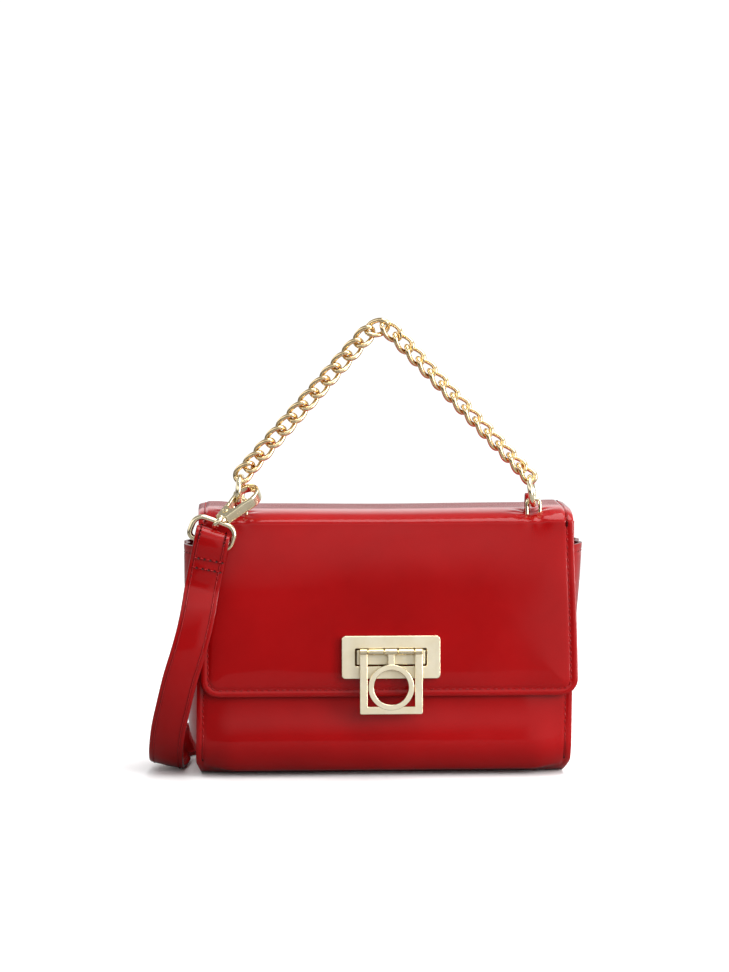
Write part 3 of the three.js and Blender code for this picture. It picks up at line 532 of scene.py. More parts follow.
def mesh_object(name, points, faces, material, sharp_degrees=40, edge_faces=None):
    """A piece from points and faces; edge_faces marks the ones with painted edges."""
    mesh = bpy.data.meshes.new(name)
    mesh.from_pydata([tuple(p) for p in points], [], [tuple(f) for f in faces])
    mesh.materials.append(material)
    if edge_faces is not None:
        mesh.materials.append(EDGE)
        mesh.polygons.foreach_set("material_index", edge_faces)
    clean_mesh(mesh)
    shade_smooth(mesh, sharp_degrees)
    return add_object(name, mesh)


def add_modifier(piece, kind, **settings):
    """Adds a modifier with its settings."""
    modifier = piece.modifiers.new(kind.title(), kind)
    for key, value in settings.items():
        setattr(modifier, key, value)
    return modifier


def apply_modifiers(piece):
    """Bakes the modifiers into the piece's own mesh."""
    evaluated = piece.evaluated_get(bpy.context.evaluated_depsgraph_get())
    mesh = bpy.data.meshes.new_from_object(evaluated)
    piece.modifiers.clear()
    piece.data = mesh
    return piece


def even_gloss(piece):
    """Weighted normals, so that flat faces stay flat beside their rounded edges."""
    add_modifier(piece, "WEIGHTED_NORMAL", mode="FACE_AREA", weight=100, keep_sharp=True)
    return apply_modifiers(piece)


def place(piece, body, nodes=()):
    """Rides the piece on its body and lets it stand for its CAD nodes."""
    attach(piece, body)
    if nodes:
        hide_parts(*nodes)
    return piece


def solid_between(name, outer, inner, material, edge_rim=False):
    """A closed sheet between two grids of points, shaped (rows, columns, 3); its rims can be painted."""
    rows, columns = outer.shape[:2]
    points = np.concatenate([outer.reshape(-1, 3), inner.reshape(-1, 3)])
    index = np.arange(rows * columns).reshape(rows, columns)
    back = index + rows * columns
    faces = []
    for grid, flip in ((index, False), (back, True)):
        a, b = grid[:-1, :-1].ravel(), grid[:-1, 1:].ravel()
        c, d = grid[1:, 1:].ravel(), grid[1:, :-1].ravel()
        quads = np.stack([a, d, c, b] if flip else [a, b, c, d], axis=1)
        faces += quads.tolist()
    flat_count = len(faces)
    rims = (
        (index[0], back[0]), (back[-1], index[-1]),
        (back[:, 0], index[:, 0]), (index[:, -1], back[:, -1]),
    )
    for one, other in rims:
        faces += [(one[n], other[n], other[n + 1], one[n + 1]) for n in range(len(one) - 1)]
    edge_faces = [0] * flat_count + [1] * (len(faces) - flat_count) if edge_rim else None
    return mesh_object(name, points, faces, material, edge_faces=edge_faces)


def sweep(name, path, normals, binormals, sections, material, closed=False, edge_columns=None):
    """Carries a section along a path; sections is (points, 2) or one per path point."""
    path, normals, binormals = (np.asarray(a, float) for a in (path, normals, binormals))
    sections = np.asarray(sections, float)
    if sections.ndim == 2:
        sections = np.repeat(sections[None], len(path), axis=0)
    count = sections.shape[1]
    points = (
        path[:, None]
        + sections[:, :, :1] * normals[:, None]
        + sections[:, :, 1:] * binormals[:, None]
    ).reshape(-1, 3)
    faces, edge_faces = [], []
    rings = len(path)
    for r in range(rings if closed else rings - 1):
        here, there = r * count, (r + 1) % rings * count
        for c in range(count):
            d = (c + 1) % count
            faces.append((here + c, here + d, there + d, there + c))
            edge_faces.append(1 if edge_columns and c in edge_columns else 0)
    if not closed:
        faces.append(tuple(range(count))[::-1])
        faces.append(tuple((rings - 1) * count + c for c in range(count)))
        edge_faces += [1, 1] if edge_columns else [0, 0]
    return mesh_object(name, points, faces, material, edge_faces=edge_faces if edge_columns else None)


def unit(v):
    """The vector, or each row of vectors, at length one."""
    v = np.asarray(v, float)
    return v / np.linalg.norm(v, axis=-1, keepdims=True)


def tangents(path, closed=False):
    """The direction of a path at each of its points."""
    if closed:
        return unit(np.roll(path, -1, axis=0) - np.roll(path, 1, axis=0))
    return unit(np.gradient(path, axis=0))


def circle(radius, sides):
    """A round section."""
    angles = np.linspace(0, 2 * math.pi, sides, endpoint=False)
    return np.stack([radius * np.cos(angles), radius * np.sin(angles)], axis=1)


def superellipse(angles, power):
    """Unit steps round a squared circle: its two coordinates at each angle."""
    c, s = np.cos(angles), np.sin(angles)
    return np.sign(c) * np.abs(c) ** power, np.sign(s) * np.abs(s) ** power


def rounded_section(half_a, half_b, power=5.0, count=24):
    """A rectangle with eased corners."""
    a, b = superellipse(np.linspace(0, 2 * math.pi, count, endpoint=False), 2 / power)
    return np.stack([half_a * a, half_b * b], axis=1)


def wire(name, path, radius, material, closed=False, sides=16):
    """A round wire along a path, with a frame that doesn't twist."""
    path = np.asarray(path, float)
    along = tangents(path, closed)
    first = unit(np.cross(along[0], (0.31, 0.52, 0.79)))
    normals = [first]
    for t in along[1:]:
        n = normals[-1] - t * np.dot(normals[-1], t)
        normals.append(unit(n))
    normals = np.array(normals)
    binormals = np.cross(along, normals)
    sections = circle(radius, sides)
    if not closed:
        return sweep(name, path, normals, binormals, sections, material)
    # share out the turn left over where the loop meets itself
    n = unit(normals[-1] - along[0] * np.dot(normals[-1], along[0]))
    left_over = math.atan2(np.dot(n, binormals[0]), np.dot(n, normals[0]))
    turn = -left_over * np.arange(len(path)) / len(path)
    c, s = np.cos(turn)[:, None], np.sin(turn)[:, None]
    return sweep(name, path, normals * c + binormals * s, binormals * c - normals * s,
                 sections, material, closed=True)


def smooth_curve(points, per_span, closed=False):
    """A centripetal Catmull-Rom curve through the points."""
    points = np.asarray(points, float)
    if closed:
        padded = np.vstack([points[-1], points, points[0], points[1]])
    else:
        padded = np.vstack([2 * points[0] - points[1], points, 2 * points[-1] - points[-2]])
    out = []
    for n in range(1, len(padded) - 2):
        p0, p1, p2, p3 = padded[n - 1:n + 3]
        steps = [max(np.linalg.norm(b - a), 1e-9) ** 0.5 for a, b in ((p0, p1), (p1, p2), (p2, p3))]
        t0, t1 = 0.0, steps[0]
        t2, t3 = t1 + steps[1], t1 + steps[1] + steps[2]
        for t in np.linspace(t1, t2, per_span, endpoint=False):
            a1 = ((t1 - t) * p0 + (t - t0) * p1) / (t1 - t0)
            a2 = ((t2 - t) * p1 + (t - t1) * p2) / (t2 - t1)
            a3 = ((t3 - t) * p2 + (t - t2) * p3) / (t3 - t2)
            b1 = ((t2 - t) * a1 + (t - t0) * a2) / (t2 - t0)
            b2 = ((t3 - t) * a2 + (t - t1) * a3) / (t3 - t1)
            out.append(((t2 - t) * b1 + (t - t1) * b2) / (t2 - t1))
    if not closed:
        out.append(points[-1])
    return np.array(out)


def resample(path, spacing, closed=False):
    """The same path with points at an even spacing; extra columns go along with it."""
    if closed:
        path = np.vstack([path, path[:1]])
    lengths = np.concatenate([[0], np.cumsum(np.linalg.norm(np.diff(path, axis=0), axis=1))])
    count = max(int(round(lengths[-1] / spacing)), 4)
    at = np.linspace(0, lengths[-1], count + 1)
    if closed:
        at = at[:-1]
    return np.stack([np.interp(at, lengths, path[:, k]) for k in range(path.shape[1])], axis=1)


def flat_solid(name, outline, holes, depth, bevel, matrix, material, lift=0.0):
    """A plate with rounded edges: an outline with holes, from lift to lift + depth along local Z.

    A satin plate's rounded edges are left polished.
    """
    curve = bpy.data.curves.new(name, "CURVE")
    curve.dimensions = "2D"
    curve.fill_mode = "BOTH"
    curve.extrude = depth / 2 - bevel
    curve.bevel_depth = bevel
    curve.bevel_resolution = 3
    curve.offset = -bevel
    for ring in [outline, *holes]:
        spline = curve.splines.new("POLY")
        spline.points.add(len(ring) - 1)
        for point, (x, y) in zip(spline.points, ring):
            point.co = (x, y, 0, 1)
        spline.use_cyclic_u = True
    source = add_object(name + "_outline", curve)
    mesh = bpy.data.meshes.new_from_object(source.evaluated_get(bpy.context.evaluated_depsgraph_get()))
    bpy.data.objects.remove(source)
    clean_mesh(mesh, merge=0.001 * MM)
    mesh.transform(matrix @ Matrix.Translation((0, 0, lift + depth / 2)))
    mesh.materials.clear()
    mesh.materials.append(material)
    if material is SATIN_GOLD:
        mesh.materials.append(GOLD)
        facing = matrix.to_3x3().col[2].normalized()
        polished = [int(abs(face.normal.dot(facing)) < 0.95) for face in mesh.polygons]
        mesh.polygons.foreach_set("material_index", polished)
    shade_smooth(mesh, 35)
    return even_gloss(add_object(name, mesh))


def arc(cx, cy, radius, start, end, count):
    """Points round part of a circle, between two angles in degrees."""
    angles = np.radians(np.linspace(start, end, count))
    return [(cx + radius * math.cos(a), cy + radius * math.sin(a)) for a in angles]


def rounded_outline(width, height, radius, x=0.0, y=0.0):
    """A rectangle with round corners, about (x, y)."""
    w, h = width / 2 - radius, height / 2 - radius
    corners = ((w, h, 0), (-w, h, 90), (-w, -h, 180), (w, -h, 270))
    return [p for cx, cy, turn in corners for p in arc(x + cx, y + cy, radius, turn, turn + 90, 7)]


def join_pieces(name, pieces):
    """Joins several meshes into one new piece that keeps their materials."""
    mesh = bmesh.new()
    materials, indices = [], []
    for piece in pieces:
        for material in piece.data.materials:
            if material not in materials:
                materials.append(material)
        own = [materials.index(material) for material in piece.data.materials]
        indices += [own[face.material_index] for face in piece.data.polygons]
        mesh.from_mesh(piece.data)
    joined = bpy.data.meshes.new(name)
    mesh.to_mesh(joined)
    mesh.free()
    for material in materials:
        joined.materials.append(material)
    joined.polygons.foreach_set("material_index", indices)
    for piece in pieces:
        bpy.data.objects.remove(piece)
    joined.set_sharp_from_angle(angle=math.radians(35))
    return even_gloss(add_object(name, joined))


def frame_matrix(origin, x, y, z):
    """The matrix of a place with its own three axes."""
    return Matrix((
        (x[0], y[0], z[0], origin[0]),
        (x[1], y[1], z[1], origin[1]),
        (x[2], y[2], z[2], origin[2]),
        (0, 0, 0, 1),
    ))


# ------------------------------------------------------------------ stitching
def thread_shape(length, radius):
    """Rings of one stitch lying along local X: a short thread that dips at both ends."""
    rings = []
    for t in np.linspace(-1, 1, 7):
        thickness = radius * math.sqrt(max(1 - abs(t) ** 4, 0.08))
        dip = -radius * 1.1 * t ** 4
        rings.append([(t * length / 2, y, z + dip) for y, z in circle(thickness, THREAD_SIDES)])
    return np.array(rings)


def thread_faces(base, rings):
    """The faces of one stitch whose points begin at base: its wall, then its two ends."""
    sides = THREAD_SIDES
    faces = []
    for r in range(rings - 1):
        for c in range(sides):
            a, b = base + r * sides + c, base + r * sides + (c + 1) % sides
            faces.append((a, b, b + sides, a + sides))
    faces.append([base + c for c in range(sides)][::-1])
    faces.append([base + (rings - 1) * sides + c for c in range(sides)])
    return faces


def stitches(name, rows, body, radius=THREAD, pitch=STITCH_PITCH, material=THREAD_RED):
    """One mesh of separate stitches and, between them, dark cones painted as the shade in the needle
    holes.

    The rows are (points, outward normals) along each seam.
    """
    shape = thread_shape(pitch * THREAD_SHARE, radius)
    local = shape.reshape(-1, 3)
    hole = circle(1, HOLE_SIDES) * (radius * 1.9, radius * 1.6)
    points, faces, is_hole_shade = [], [], []
    for path, normals in rows:
        both = resample(np.hstack([path, normals]), pitch)
        centres, up = both[:, :3], unit(both[:, 3:])
        along = tangents(centres)
        side = unit(np.cross(up, along))
        for n in range(len(centres)):
            slanted = unit(along[n] + THREAD_SLANT * side[n])
            thread = thread_faces(len(points), len(shape))
            points += (
                centres[n] + local[:, :1] * slanted + local[:, 1:2] * side[n] + local[:, 2:] * up[n]
            ).tolist()
            # a shallow dark cone at each needle hole: painted shade in the hole
            at = centres[n] + along[n] * pitch / 2
            base = len(points)
            points += (at + hole[:, :1] * along[n] + hole[:, 1:] * side[n]).tolist()
            points.append((at - up[n] * radius * 0.6).tolist())
            cone = [(base + c, base + (c + 1) % HOLE_SIDES, base + HOLE_SIDES) for c in range(HOLE_SIDES)]
            faces += thread + cone
            is_hole_shade += [0] * len(thread) + [1] * len(cone)
    piece = mesh_object(name, points, faces, material, sharp_degrees=80)
    piece.data.materials.append(NEEDLE_HOLE_SHADE)
    piece.data.polygons.foreach_set("material_index", is_hole_shade)
    if body:
        place(piece, body)
    return piece


# ------------------------------------------------------------------ the bag's section
def ease(low, high, value):
    """0 below low, 1 above high, and smooth between."""
    t = np.clip((np.asarray(value, float) - low) / (high - low), 0, 1)
    return t * t * (3 - 2 * t)


def bell(value, width):
    """1 where the value is 0, and nothing a few widths away."""
    return np.exp(-(value / width) ** 2)


def front_y(z):
    """The front panel leans back as it rises, and bows out by a little over a millimetre."""
    share = np.clip(np.asarray(z, float) / PANEL_TOP, 0, 1)
    return -((33 - 9.5 * share + 1.2 * np.sin(math.pi * share)) * MM)


def back_y(z):
    """The back panel leans forward as it rises."""
    share = np.clip(np.asarray(z, float) / FLAP_ROOT, 0, 1)
    return (31 - 5.2 * share + 0.6 * np.sin(math.pi * share)) * MM


def flap_y(z):
    """The flap's outer face, where it hangs over the front panel."""
    return front_y(z) - FLAP_STACK


def inward(line):
    """The direction to the bag's inside, along a line in the YZ plane."""
    along = tangents(line)
    return np.stack([-along[:, 1], along[:, 0]], axis=1)


class Sheet:
    """A sheet that follows a line in the YZ plane; places on it are x and the length s along it."""

    def __init__(self, line):
        self.line = resample(np.asarray(line, float), LINE_STEP)
        steps = np.linalg.norm(np.diff(self.line, axis=0), axis=1)
        self.s = np.concatenate([[0], np.cumsum(steps)])
        self.length = self.s[-1]
        self.normal = -inward(self.line)
        self.half_width = None  # a function of s
        self.lean = (0.0, 0.0)  # how far it is pulled sideways at its two ends
        self.spread = 0.0  # how much wider it is at its far end
        self.relief = lambda x, s: np.zeros(np.broadcast(x, s).shape)

    def at(self, x, s, lift=0.0):
        """Points and outward normals, lifted off the sheet's face."""
        x, s = np.broadcast_arrays(np.asarray(x, float), np.asarray(s, float))
        lift = lift + self.relief(x, s)
        y, z = (np.interp(s, self.s, self.line[:, k]) for k in (0, 1))
        ny, nz = (np.interp(s, self.s, self.normal[:, k]) for k in (0, 1))
        lean = self.lean[0] + (self.lean[1] - self.lean[0]) * ease(0.2, 1, s / self.length)
        x = x * (1 + self.spread * s / self.length) + lean
        points = np.stack([x, y + ny * lift, z + nz * lift], axis=-1)
        return points, np.stack([np.zeros_like(ny), ny, nz], axis=-1)

    def grid(self, rows, columns):
        """Places all over the sheet, closer together near its sides."""
        s = np.linspace(0, self.length, rows)
        reach = math.pi / 2 * 0.8
        t = np.sin(np.linspace(-1, 1, columns) * reach) / math.sin(reach)
        half = self.half_width(s)
        return half[:, None] * t[None], np.repeat(s[:, None], columns, axis=1)


def flap_line():
    """From the flap's back edge over its top and the front fold, down to its lower edge."""
    fold_z = FLAP_TOP - FOLD_FRONT
    fold_y = float(flap_y(fold_z)) + FOLD_DEPTH
    centre = float(back_y(FLAP_ROOT)) - FOLD_BACK
    front = [(float(flap_y(z)), z) for z in np.linspace(fold_z, FLAP_EDGE, 40)]
    return [
        (float(back_y(FLAP_ROOT)), FLAP_ROOT),
        *arc(centre, FLAP_TOP - FOLD_BACK, FOLD_BACK, 4, 90, 24),
        *[(fold_y + FOLD_DEPTH * y, fold_z + FOLD_FRONT * z) for y, z in arc(0, 0, 1, 90, 180, 24)],
        *front[1:],
    ]


def shell_line():
    """Down the front, under the base and up the back."""
    front_centre = float(front_y(FRONT_ROUND)) + FRONT_ROUND
    back_centre = float(back_y(BACK_ROUND)) - BACK_ROUND
    return [
        *[(float(front_y(z)), z) for z in np.linspace(PANEL_TOP, FRONT_ROUND, 40)],
        *arc(front_centre, FRONT_ROUND, FRONT_ROUND, 180, 270, 24)[1:],
        *arc(back_centre, BACK_ROUND, BACK_ROUND, -90, 0, 24),
        *[(float(back_y(z)), z) for z in np.linspace(BACK_ROUND, BACK_HIGH.z, 40)][1:],
    ]


def edge_distance(x, s, length, half, corner):
    """How far a place on the flap is from its side and lower edges, round its lower corners."""
    dx, ds = half - np.abs(x), length - s
    inside = np.minimum(dx, ds)
    round_off = corner - np.hypot(np.maximum(corner - dx, 0), np.maximum(corner - ds, 0))
    return np.where((dx < corner) & (ds < corner), round_off, inside)


# ------------------------------------------------------------------ leather
def flap_half_width(flap_length):
    """Half the flap's width along its length: straight, then rounded at the lower corners."""
    def half(s):
        below = np.clip(s - (flap_length - CORNER), 0, CORNER)
        return FLAP_HALF - CORNER + np.sqrt(np.maximum(CORNER ** 2 - below ** 2, 0))
    return half


def flap_relief(length, fold_end):
    """The flap's modelling: a pressed, stitched edge, a soft shoulder, and the pull of the two staples."""
    def relief(x, s):
        edge = edge_distance(x, s, length, FLAP_HALF, CORNER)
        rise = PAD_HEIGHT - PAD_RISE * np.exp(-np.maximum(edge - PAD_EDGE, 0) / PAD_FADE)
        rise = rise * ease(fold_end - 14 * MM, fold_end + 24 * MM, s)
        shoulder = ease(fold_end - 9 * MM, fold_end, s) * (1 - ease(fold_end, fold_end + 36 * MM, s))
        seam = -0.5 * MM * bell(edge - STITCH_INSET, SEAM_WIDTH)
        roll = -0.6 * MM * np.exp(-edge / EDGE_ROLL)
        top = 1 - ease(fold_end - 12 * MM, fold_end + 8 * MM, s)
        swell = 1.3 * MM * ease(74 * MM, 90 * MM, np.abs(x)) * top * ease(0, 6 * MM, edge)
        sag = -0.5 * MM * bell(x, 45 * MM) * top
        pull = 0
        for ring_x, _ in BAG_RINGS.values():
            away = np.hypot(x - ring_x, (s - STAPLE_S) * 0.9)
            around = np.arctan2(s - STAPLE_S, x - ring_x)
            pucker = STAPLE_PUCKER * np.sin(around * 9 + 1.3) * bell(away - 7 * MM, 4 * MM)
            pull = pull - STAPLE_PULL * bell(away, 5.5 * MM) + pucker
        return rise - 1.1 * MM * shoulder + seam + roll + swell + sag + pull
    return relief


def s_on_flap(z):
    """The place along the flap where its front hangs at a height."""
    below_top = slice(60, None)
    return float(np.interp(-z, -FLAP.line[below_top, 1], FLAP.s[below_top]))


def s_on_top(y):
    """The place along the flap where its top lies at a depth."""
    on_top = FLAP.line[:, 1] > FLAP_TOP - 3 * MM
    return float(np.interp(-y, -FLAP.line[on_top, 0], FLAP.s[on_top]))


FLAP = Sheet(flap_line())
FLAP.half_width = flap_half_width(FLAP.length)
FOLD_END = s_on_flap(FLAP_TOP - FOLD_FRONT)
STAPLE_S = s_on_top(RING_Y)
LOCK_S = s_on_flap((PLATE_LOW.z + PLATE_HIGH.z) / 2)
FLAP.relief = flap_relief(FLAP.length, FOLD_END)
FLAP.lean = (-1.8 * MM, 0.1 * MM)
FLAP.spread = 0.010


def settle_as_cloth(points, held):
    """Puffs a grid of points out under slight pressure, held where it is sewn down."""
    rows, columns = points.shape[:2]
    index = np.arange(rows * columns).reshape(rows, columns)
    quads = np.stack([index[:-1, :-1], index[:-1, 1:], index[1:, 1:], index[1:, :-1]], axis=-1)
    piece = mesh_object("cloth_trial", points.reshape(-1, 3), quads.reshape(-1, 4), RED)
    group = piece.vertex_groups.new(name="sewn")
    levels = np.round(held.ravel(), 2)
    for level in np.unique(levels[levels > 0]):
        group.add(np.where(levels == level)[0].tolist(), float(level), "REPLACE")
    settings = add_modifier(piece, "CLOTH").settings
    settings.vertex_group_mass = "sewn"
    settings.quality = 6
    settings.mass = 0.4
    settings.tension_stiffness = CLOTH_STIFFNESS
    settings.compression_stiffness = CLOTH_STIFFNESS
    settings.bending_stiffness = CLOTH_STIFFNESS
    settings.use_pressure = True
    settings.uniform_pressure_force = CLOTH_PRESSURE
    settings.effector_weights.gravity = 0
    scene = bpy.context.scene
    for step in range(CLOTH_STEPS):
        scene.frame_set(step + 1)
    evaluated = piece.evaluated_get(bpy.context.evaluated_depsgraph_get())
    settled = np.array([v.co for v in evaluated.to_mesh().vertices]).reshape(points.shape)
    scene.frame_set(1)
    bpy.data.objects.remove(piece)
    moved = settled - points
    size = np.linalg.norm(moved, axis=-1, keepdims=True)
    moved = moved * np.minimum(1, CLOTH_CAP / np.maximum(size, 1e-9))
    for _ in range(CLOTH_TAUT):
        inner = moved[:-2, 1:-1] + moved[2:, 1:-1] + moved[1:-1, :-2] + moved[1:-1, 2:]
        moved[1:-1, 1:-1] = inner / 4
    return points + moved * (1 - held[..., None])


def held_down(x, s):
    """Where the flap's leather is sewn or pressed down: its edges, its top, and round the lock."""
    edge = edge_distance(x, s, FLAP.length, FLAP_HALF, CORNER)
    by_seam = 1 - ease(4 * MM, 7 * MM, edge)
    by_top = 1 - ease(FOLD_END - 8 * MM, FOLD_END + 6 * MM, s)
    beside_x = np.maximum(np.abs(x - LOCK_X) - 26 * MM, 0)
    beside_s = np.maximum(np.abs(s - LOCK_S) - 11.5 * MM, 0)
    by_lock = 1 - ease(0, 24 * MM, np.hypot(beside_x, beside_s))
    return np.maximum(np.maximum(by_seam, by_top), by_lock)


def flap_seam():
    """The seam down the flap's sides, round its lower corners and along its lower edge."""
    side_s = np.linspace(3 * MM, FLAP.length - CORNER, 160)
    side_x = np.full_like(side_s, FLAP_HALF - STITCH_INSET)
    corner = np.radians(np.linspace(0, 90, 14))[1:]
    radius = CORNER - STITCH_INSET
    corner_x = FLAP_HALF - CORNER + radius * np.cos(corner)
    corner_s = FLAP.length - CORNER + radius * np.sin(corner)
    half_x = np.concatenate([side_x, corner_x, [0]])
    half_s = np.concatenate([side_s, corner_s, [FLAP.length - STITCH_INSET]])
    seam_x = np.concatenate([half_x, -half_x[::-1][1:]])
    seam_s = np.concatenate([half_s, half_s[::-1][1:]])
    fine = resample(np.stack([seam_x, seam_s], axis=1), 1 * MM)
    return FLAP.at(fine[:, 0], fine[:, 1], 0.1 * MM)


def make_flap():
    """The padded outer leather and its stitching."""
    x, s = FLAP.grid(190, 150)
    outer, _ = FLAP.at(x, s)
    inner, _ = FLAP.at(x, s, -LEATHER - FLAP.relief(x, s))
    outer = settle_as_cloth(outer, held_down(x, s))
    flap = solid_between("flap_leather", outer, inner, RED, edge_rim=True)
    place(flap, "flap", ["flap_outer"])
    stitches("flap_stitching", [flap_seam()], "flap")


def make_flap_lining():
    """The cloth stretched on the flap's inside."""
    line = resample(np.asarray(flap_line(), float), LINE_STEP)
    sheet = Sheet(line + (LEATHER + 0.3 * MM) * inward(line))
    sheet.half_width = lambda s: flap_half_width(sheet.length)(s) - 0.4 * MM
    sheet.lean, sheet.spread = FLAP.lean, FLAP.spread
    x, s = sheet.grid(120, 60)
    outer, _ = sheet.at(x, s)
    inner, _ = sheet.at(x, s, -1.0 * MM)
    lining = solid_between("flap_lining_cloth", outer, inner, SUEDE)
    place(lining, "flap", ["flap_lining"])


# ---- shell: front, base and back in one piece ----
def shell_half_width(sheet):
    """Straight walls; the two lower edges draw in a little towards the gussets."""
    def half(s):
        z = np.interp(s, sheet.s, sheet.line[:, 1])
        return HALF_WIDTH + 0.6 * MM - 2.6 * MM * (1 - ease(0, 9 * MM, z)) ** 2
    return half


def shell_relief(sheet):
    """Pressed seams at the sides, a soft fullness, and a belly low on the front."""
    def relief(x, s):
        edge = sheet.half_width(s) - np.abs(x)
        z = np.interp(s, sheet.s, sheet.line[:, 1])
        seam = -0.45 * MM * bell(edge - STITCH_INSET, SEAM_WIDTH)
        roll = -0.5 * MM * np.exp(-edge / EDGE_ROLL)
        full = 0.9 * MM * ease(3 * MM, 26 * MM, edge) * ease(6 * MM, 30 * MM, z)
        belly = BELLY * bell(z - BELLY_Z, BELLY_SPREAD) * ease(0, 20 * MM, edge)
        return (seam + roll + full + belly) * ease(1.5 * MM, 6 * MM, z)
    return relief


def lean_at(z):
    """How far the soft body stands to the left of the flap, more towards the ground."""
    return BODY_LEAN + GROUND_LEAN * (1 - np.clip(z / PANEL_TOP, 0, 1))


def lift_corners(points):
    """Leans the body, and lifts the base's four corners just clear of the ground."""
    lifted = points.copy()
    lifted[..., 0] += lean_at(points[..., 2])
    out = ease(0.78 * HALF_WIDTH, HALF_WIDTH, np.abs(points[..., 0]))
    near_edge = ease(8 * MM, 30 * MM, np.abs(points[..., 1]))
    low = 1 - ease(0, 22 * MM, points[..., 2])
    lifted[..., 2] += 1.6 * MM * out * near_edge * low
    return lifted


def make_shell():
    """The front, base and back in one piece, with seams at its sides and round its mouth."""
    sheet = Sheet(shell_line())
    sheet.half_width = shell_half_width(sheet)
    sheet.relief = shell_relief(sheet)
    x, s = sheet.grid(230, 110)
    outer, _ = sheet.at(x, s)
    inner, _ = sheet.at(x, s, -LEATHER - sheet.relief(x, s))
    shell = solid_between("bag_shell", lift_corners(outer), lift_corners(inner), RED, edge_rim=True)
    place(shell, "bag", ["front_panel", "base_panel", "back_panel"])
    rows = []
    fine = np.arange(2 * MM, sheet.length - 2 * MM, 1 * MM)
    y, z = (np.interp(fine, sheet.s, sheet.line[:, k]) for k in (0, 1))
    for keep in ((z > 9 * MM) & (y < 0), (z > 7 * MM) & (y > 0)):
        for side in (-1, 1):
            along = fine[keep]
            seam_x = side * (sheet.half_width(along) - STITCH_INSET)
            path, normals = sheet.at(seam_x, along, 0.1 * MM)
            rows.append((lift_corners(path), normals))
    mouth_x = np.arange(-HALF_WIDTH + 5 * MM, HALF_WIDTH - 5 * MM, 1 * MM)
    for s_at in (3.5 * MM, sheet.length - 3.5 * MM):
        path, normals = sheet.at(mouth_x, np.full_like(mouth_x, s_at), 0.05 * MM)
        rows.append((lift_corners(path), normals))
    stitches("shell_stitching", rows, "bag")


# ---- gussets ----
def inside_y(z, front):
    """The inside of the front or back wall, with its rounded lower edge."""
    wall, radius = (front_y, FRONT_ROUND) if front else (back_y, BACK_ROUND)
    sign = -1 if front else 1
    inset = LEATHER + 0.5 * MM
    middle = float(wall(radius)) - sign * radius
    below = np.clip(radius - z, 0, None)
    bend = middle + sign * np.sqrt(np.maximum((radius - inset) ** 2 - below ** 2, 0))
    return np.where(z >= radius, wall(z) - sign * inset, bend)


def gusset_point(side, flare, crease, t, z, depth=0.0):
    """A side wall that swells between the walls and creases softly down its middle."""
    y = inside_y(z, True) * (1 - t) + inside_y(z, False) * t
    rise = np.clip(z / GUSSET_TOP, 0, 1)
    swell = np.sin(math.pi * t) ** 0.75
    fold = crease * bell(t - 0.5, 0.13) * ease(0.25, 1, rise)
    low = 0.5 * ease(0, 0.16, rise) if side < 0 else 0.12
    out = flare * (low + (1 - low) * rise ** 1.3) * swell * (1 - fold)
    ripple = 0.5 * MM * np.sin(9 * rise + 4 * t) * swell * rise
    hem = -0.35 * MM * bell(GUSSET_TOP - z - GUSSET_SEAM, SEAM_WIDTH)
    x = side * (GUSSET_EDGE + out + ripple + hem - depth) + lean_at(z)
    return np.stack(np.broadcast_arrays(x, y, z), axis=-1)


def grid_over(low, high, rows, left, right, columns):
    """A grid of heights, by rows, and of places across, by columns."""
    return np.meshgrid(np.linspace(low, high, rows), np.linspace(left, right, columns), indexing="ij")


def make_gussets():
    """The two side walls, each with a seam under its top edge."""
    for name, shape in GUSSETS.items():
        side = shape[0]
        z, t = grid_over(2.6 * MM, GUSSET_TOP, 90, 0.01, 0.99, 44)
        outer = gusset_point(*shape, t, z)
        inner = gusset_point(*shape, t, z, GUSSET_LEATHER)
        gusset = solid_between(f"{name}_gusset_leather", outer, inner, RED, edge_rim=True)
        place(gusset, "bag", [f"{name}_gusset"])
        t = np.linspace(0.06, 0.94, 60)
        path = gusset_point(*shape, t, np.full_like(t, GUSSET_TOP - GUSSET_SEAM), -0.1 * MM)
        normals = np.repeat([[side, 0.0, 0.15]], len(t), axis=0)
        stitches(f"{name}_gusset_stitching", [(path, normals)], "bag")


# ---- inside of the bag ----
def lining_face(inset):
    """One face of the cloth cup: its floor drawn in to the middle, then its slack walls."""
    wall_rows, floor_rows, columns = 70, 12, 240
    turn = np.linspace(0, 2 * math.pi, columns + 1)
    c, s = np.cos(turn), np.sin(turn)
    x = LINING_HALF * np.sign(c) * np.abs(c) ** 0.12
    share = np.sign(s) * np.abs(s) ** 0.5
    bottom = LINING_FLOOR + inset
    points = np.zeros((floor_rows + wall_rows, columns + 1, 3))
    for r, h in enumerate(np.linspace(0, 1, wall_rows)):
        z = bottom + (LINING_TOP - bottom) * h
        front, back = inside_y(np.array(z), True), inside_y(np.array(z), False)
        middle, half = (front + back) / 2, (back - front) / 2 - inset
        slack = 0.5 * MM * np.sin(turn * 9 + 4 * h) * math.sin(math.pi * h)
        points[r + floor_rows, :, 0] = x * (1 - inset / LINING_HALF) + lean_at(z)
        points[r + floor_rows, :, 1] = middle + (half - np.abs(slack)) * share
        points[r + floor_rows, :, 2] = z
    for r in range(floor_rows):
        points[r] = points[floor_rows] * (0.02 + 0.98 * r / floor_rows)
        points[r, :, 2] = bottom
    return points


def make_lining():
    """A loose cloth cup that hangs in the bag's mouth."""
    lining = solid_between("lining_cup", *(lining_face(inset) for inset in LINING_FACES), LINING)
    place(lining, "bag", ["lining"])


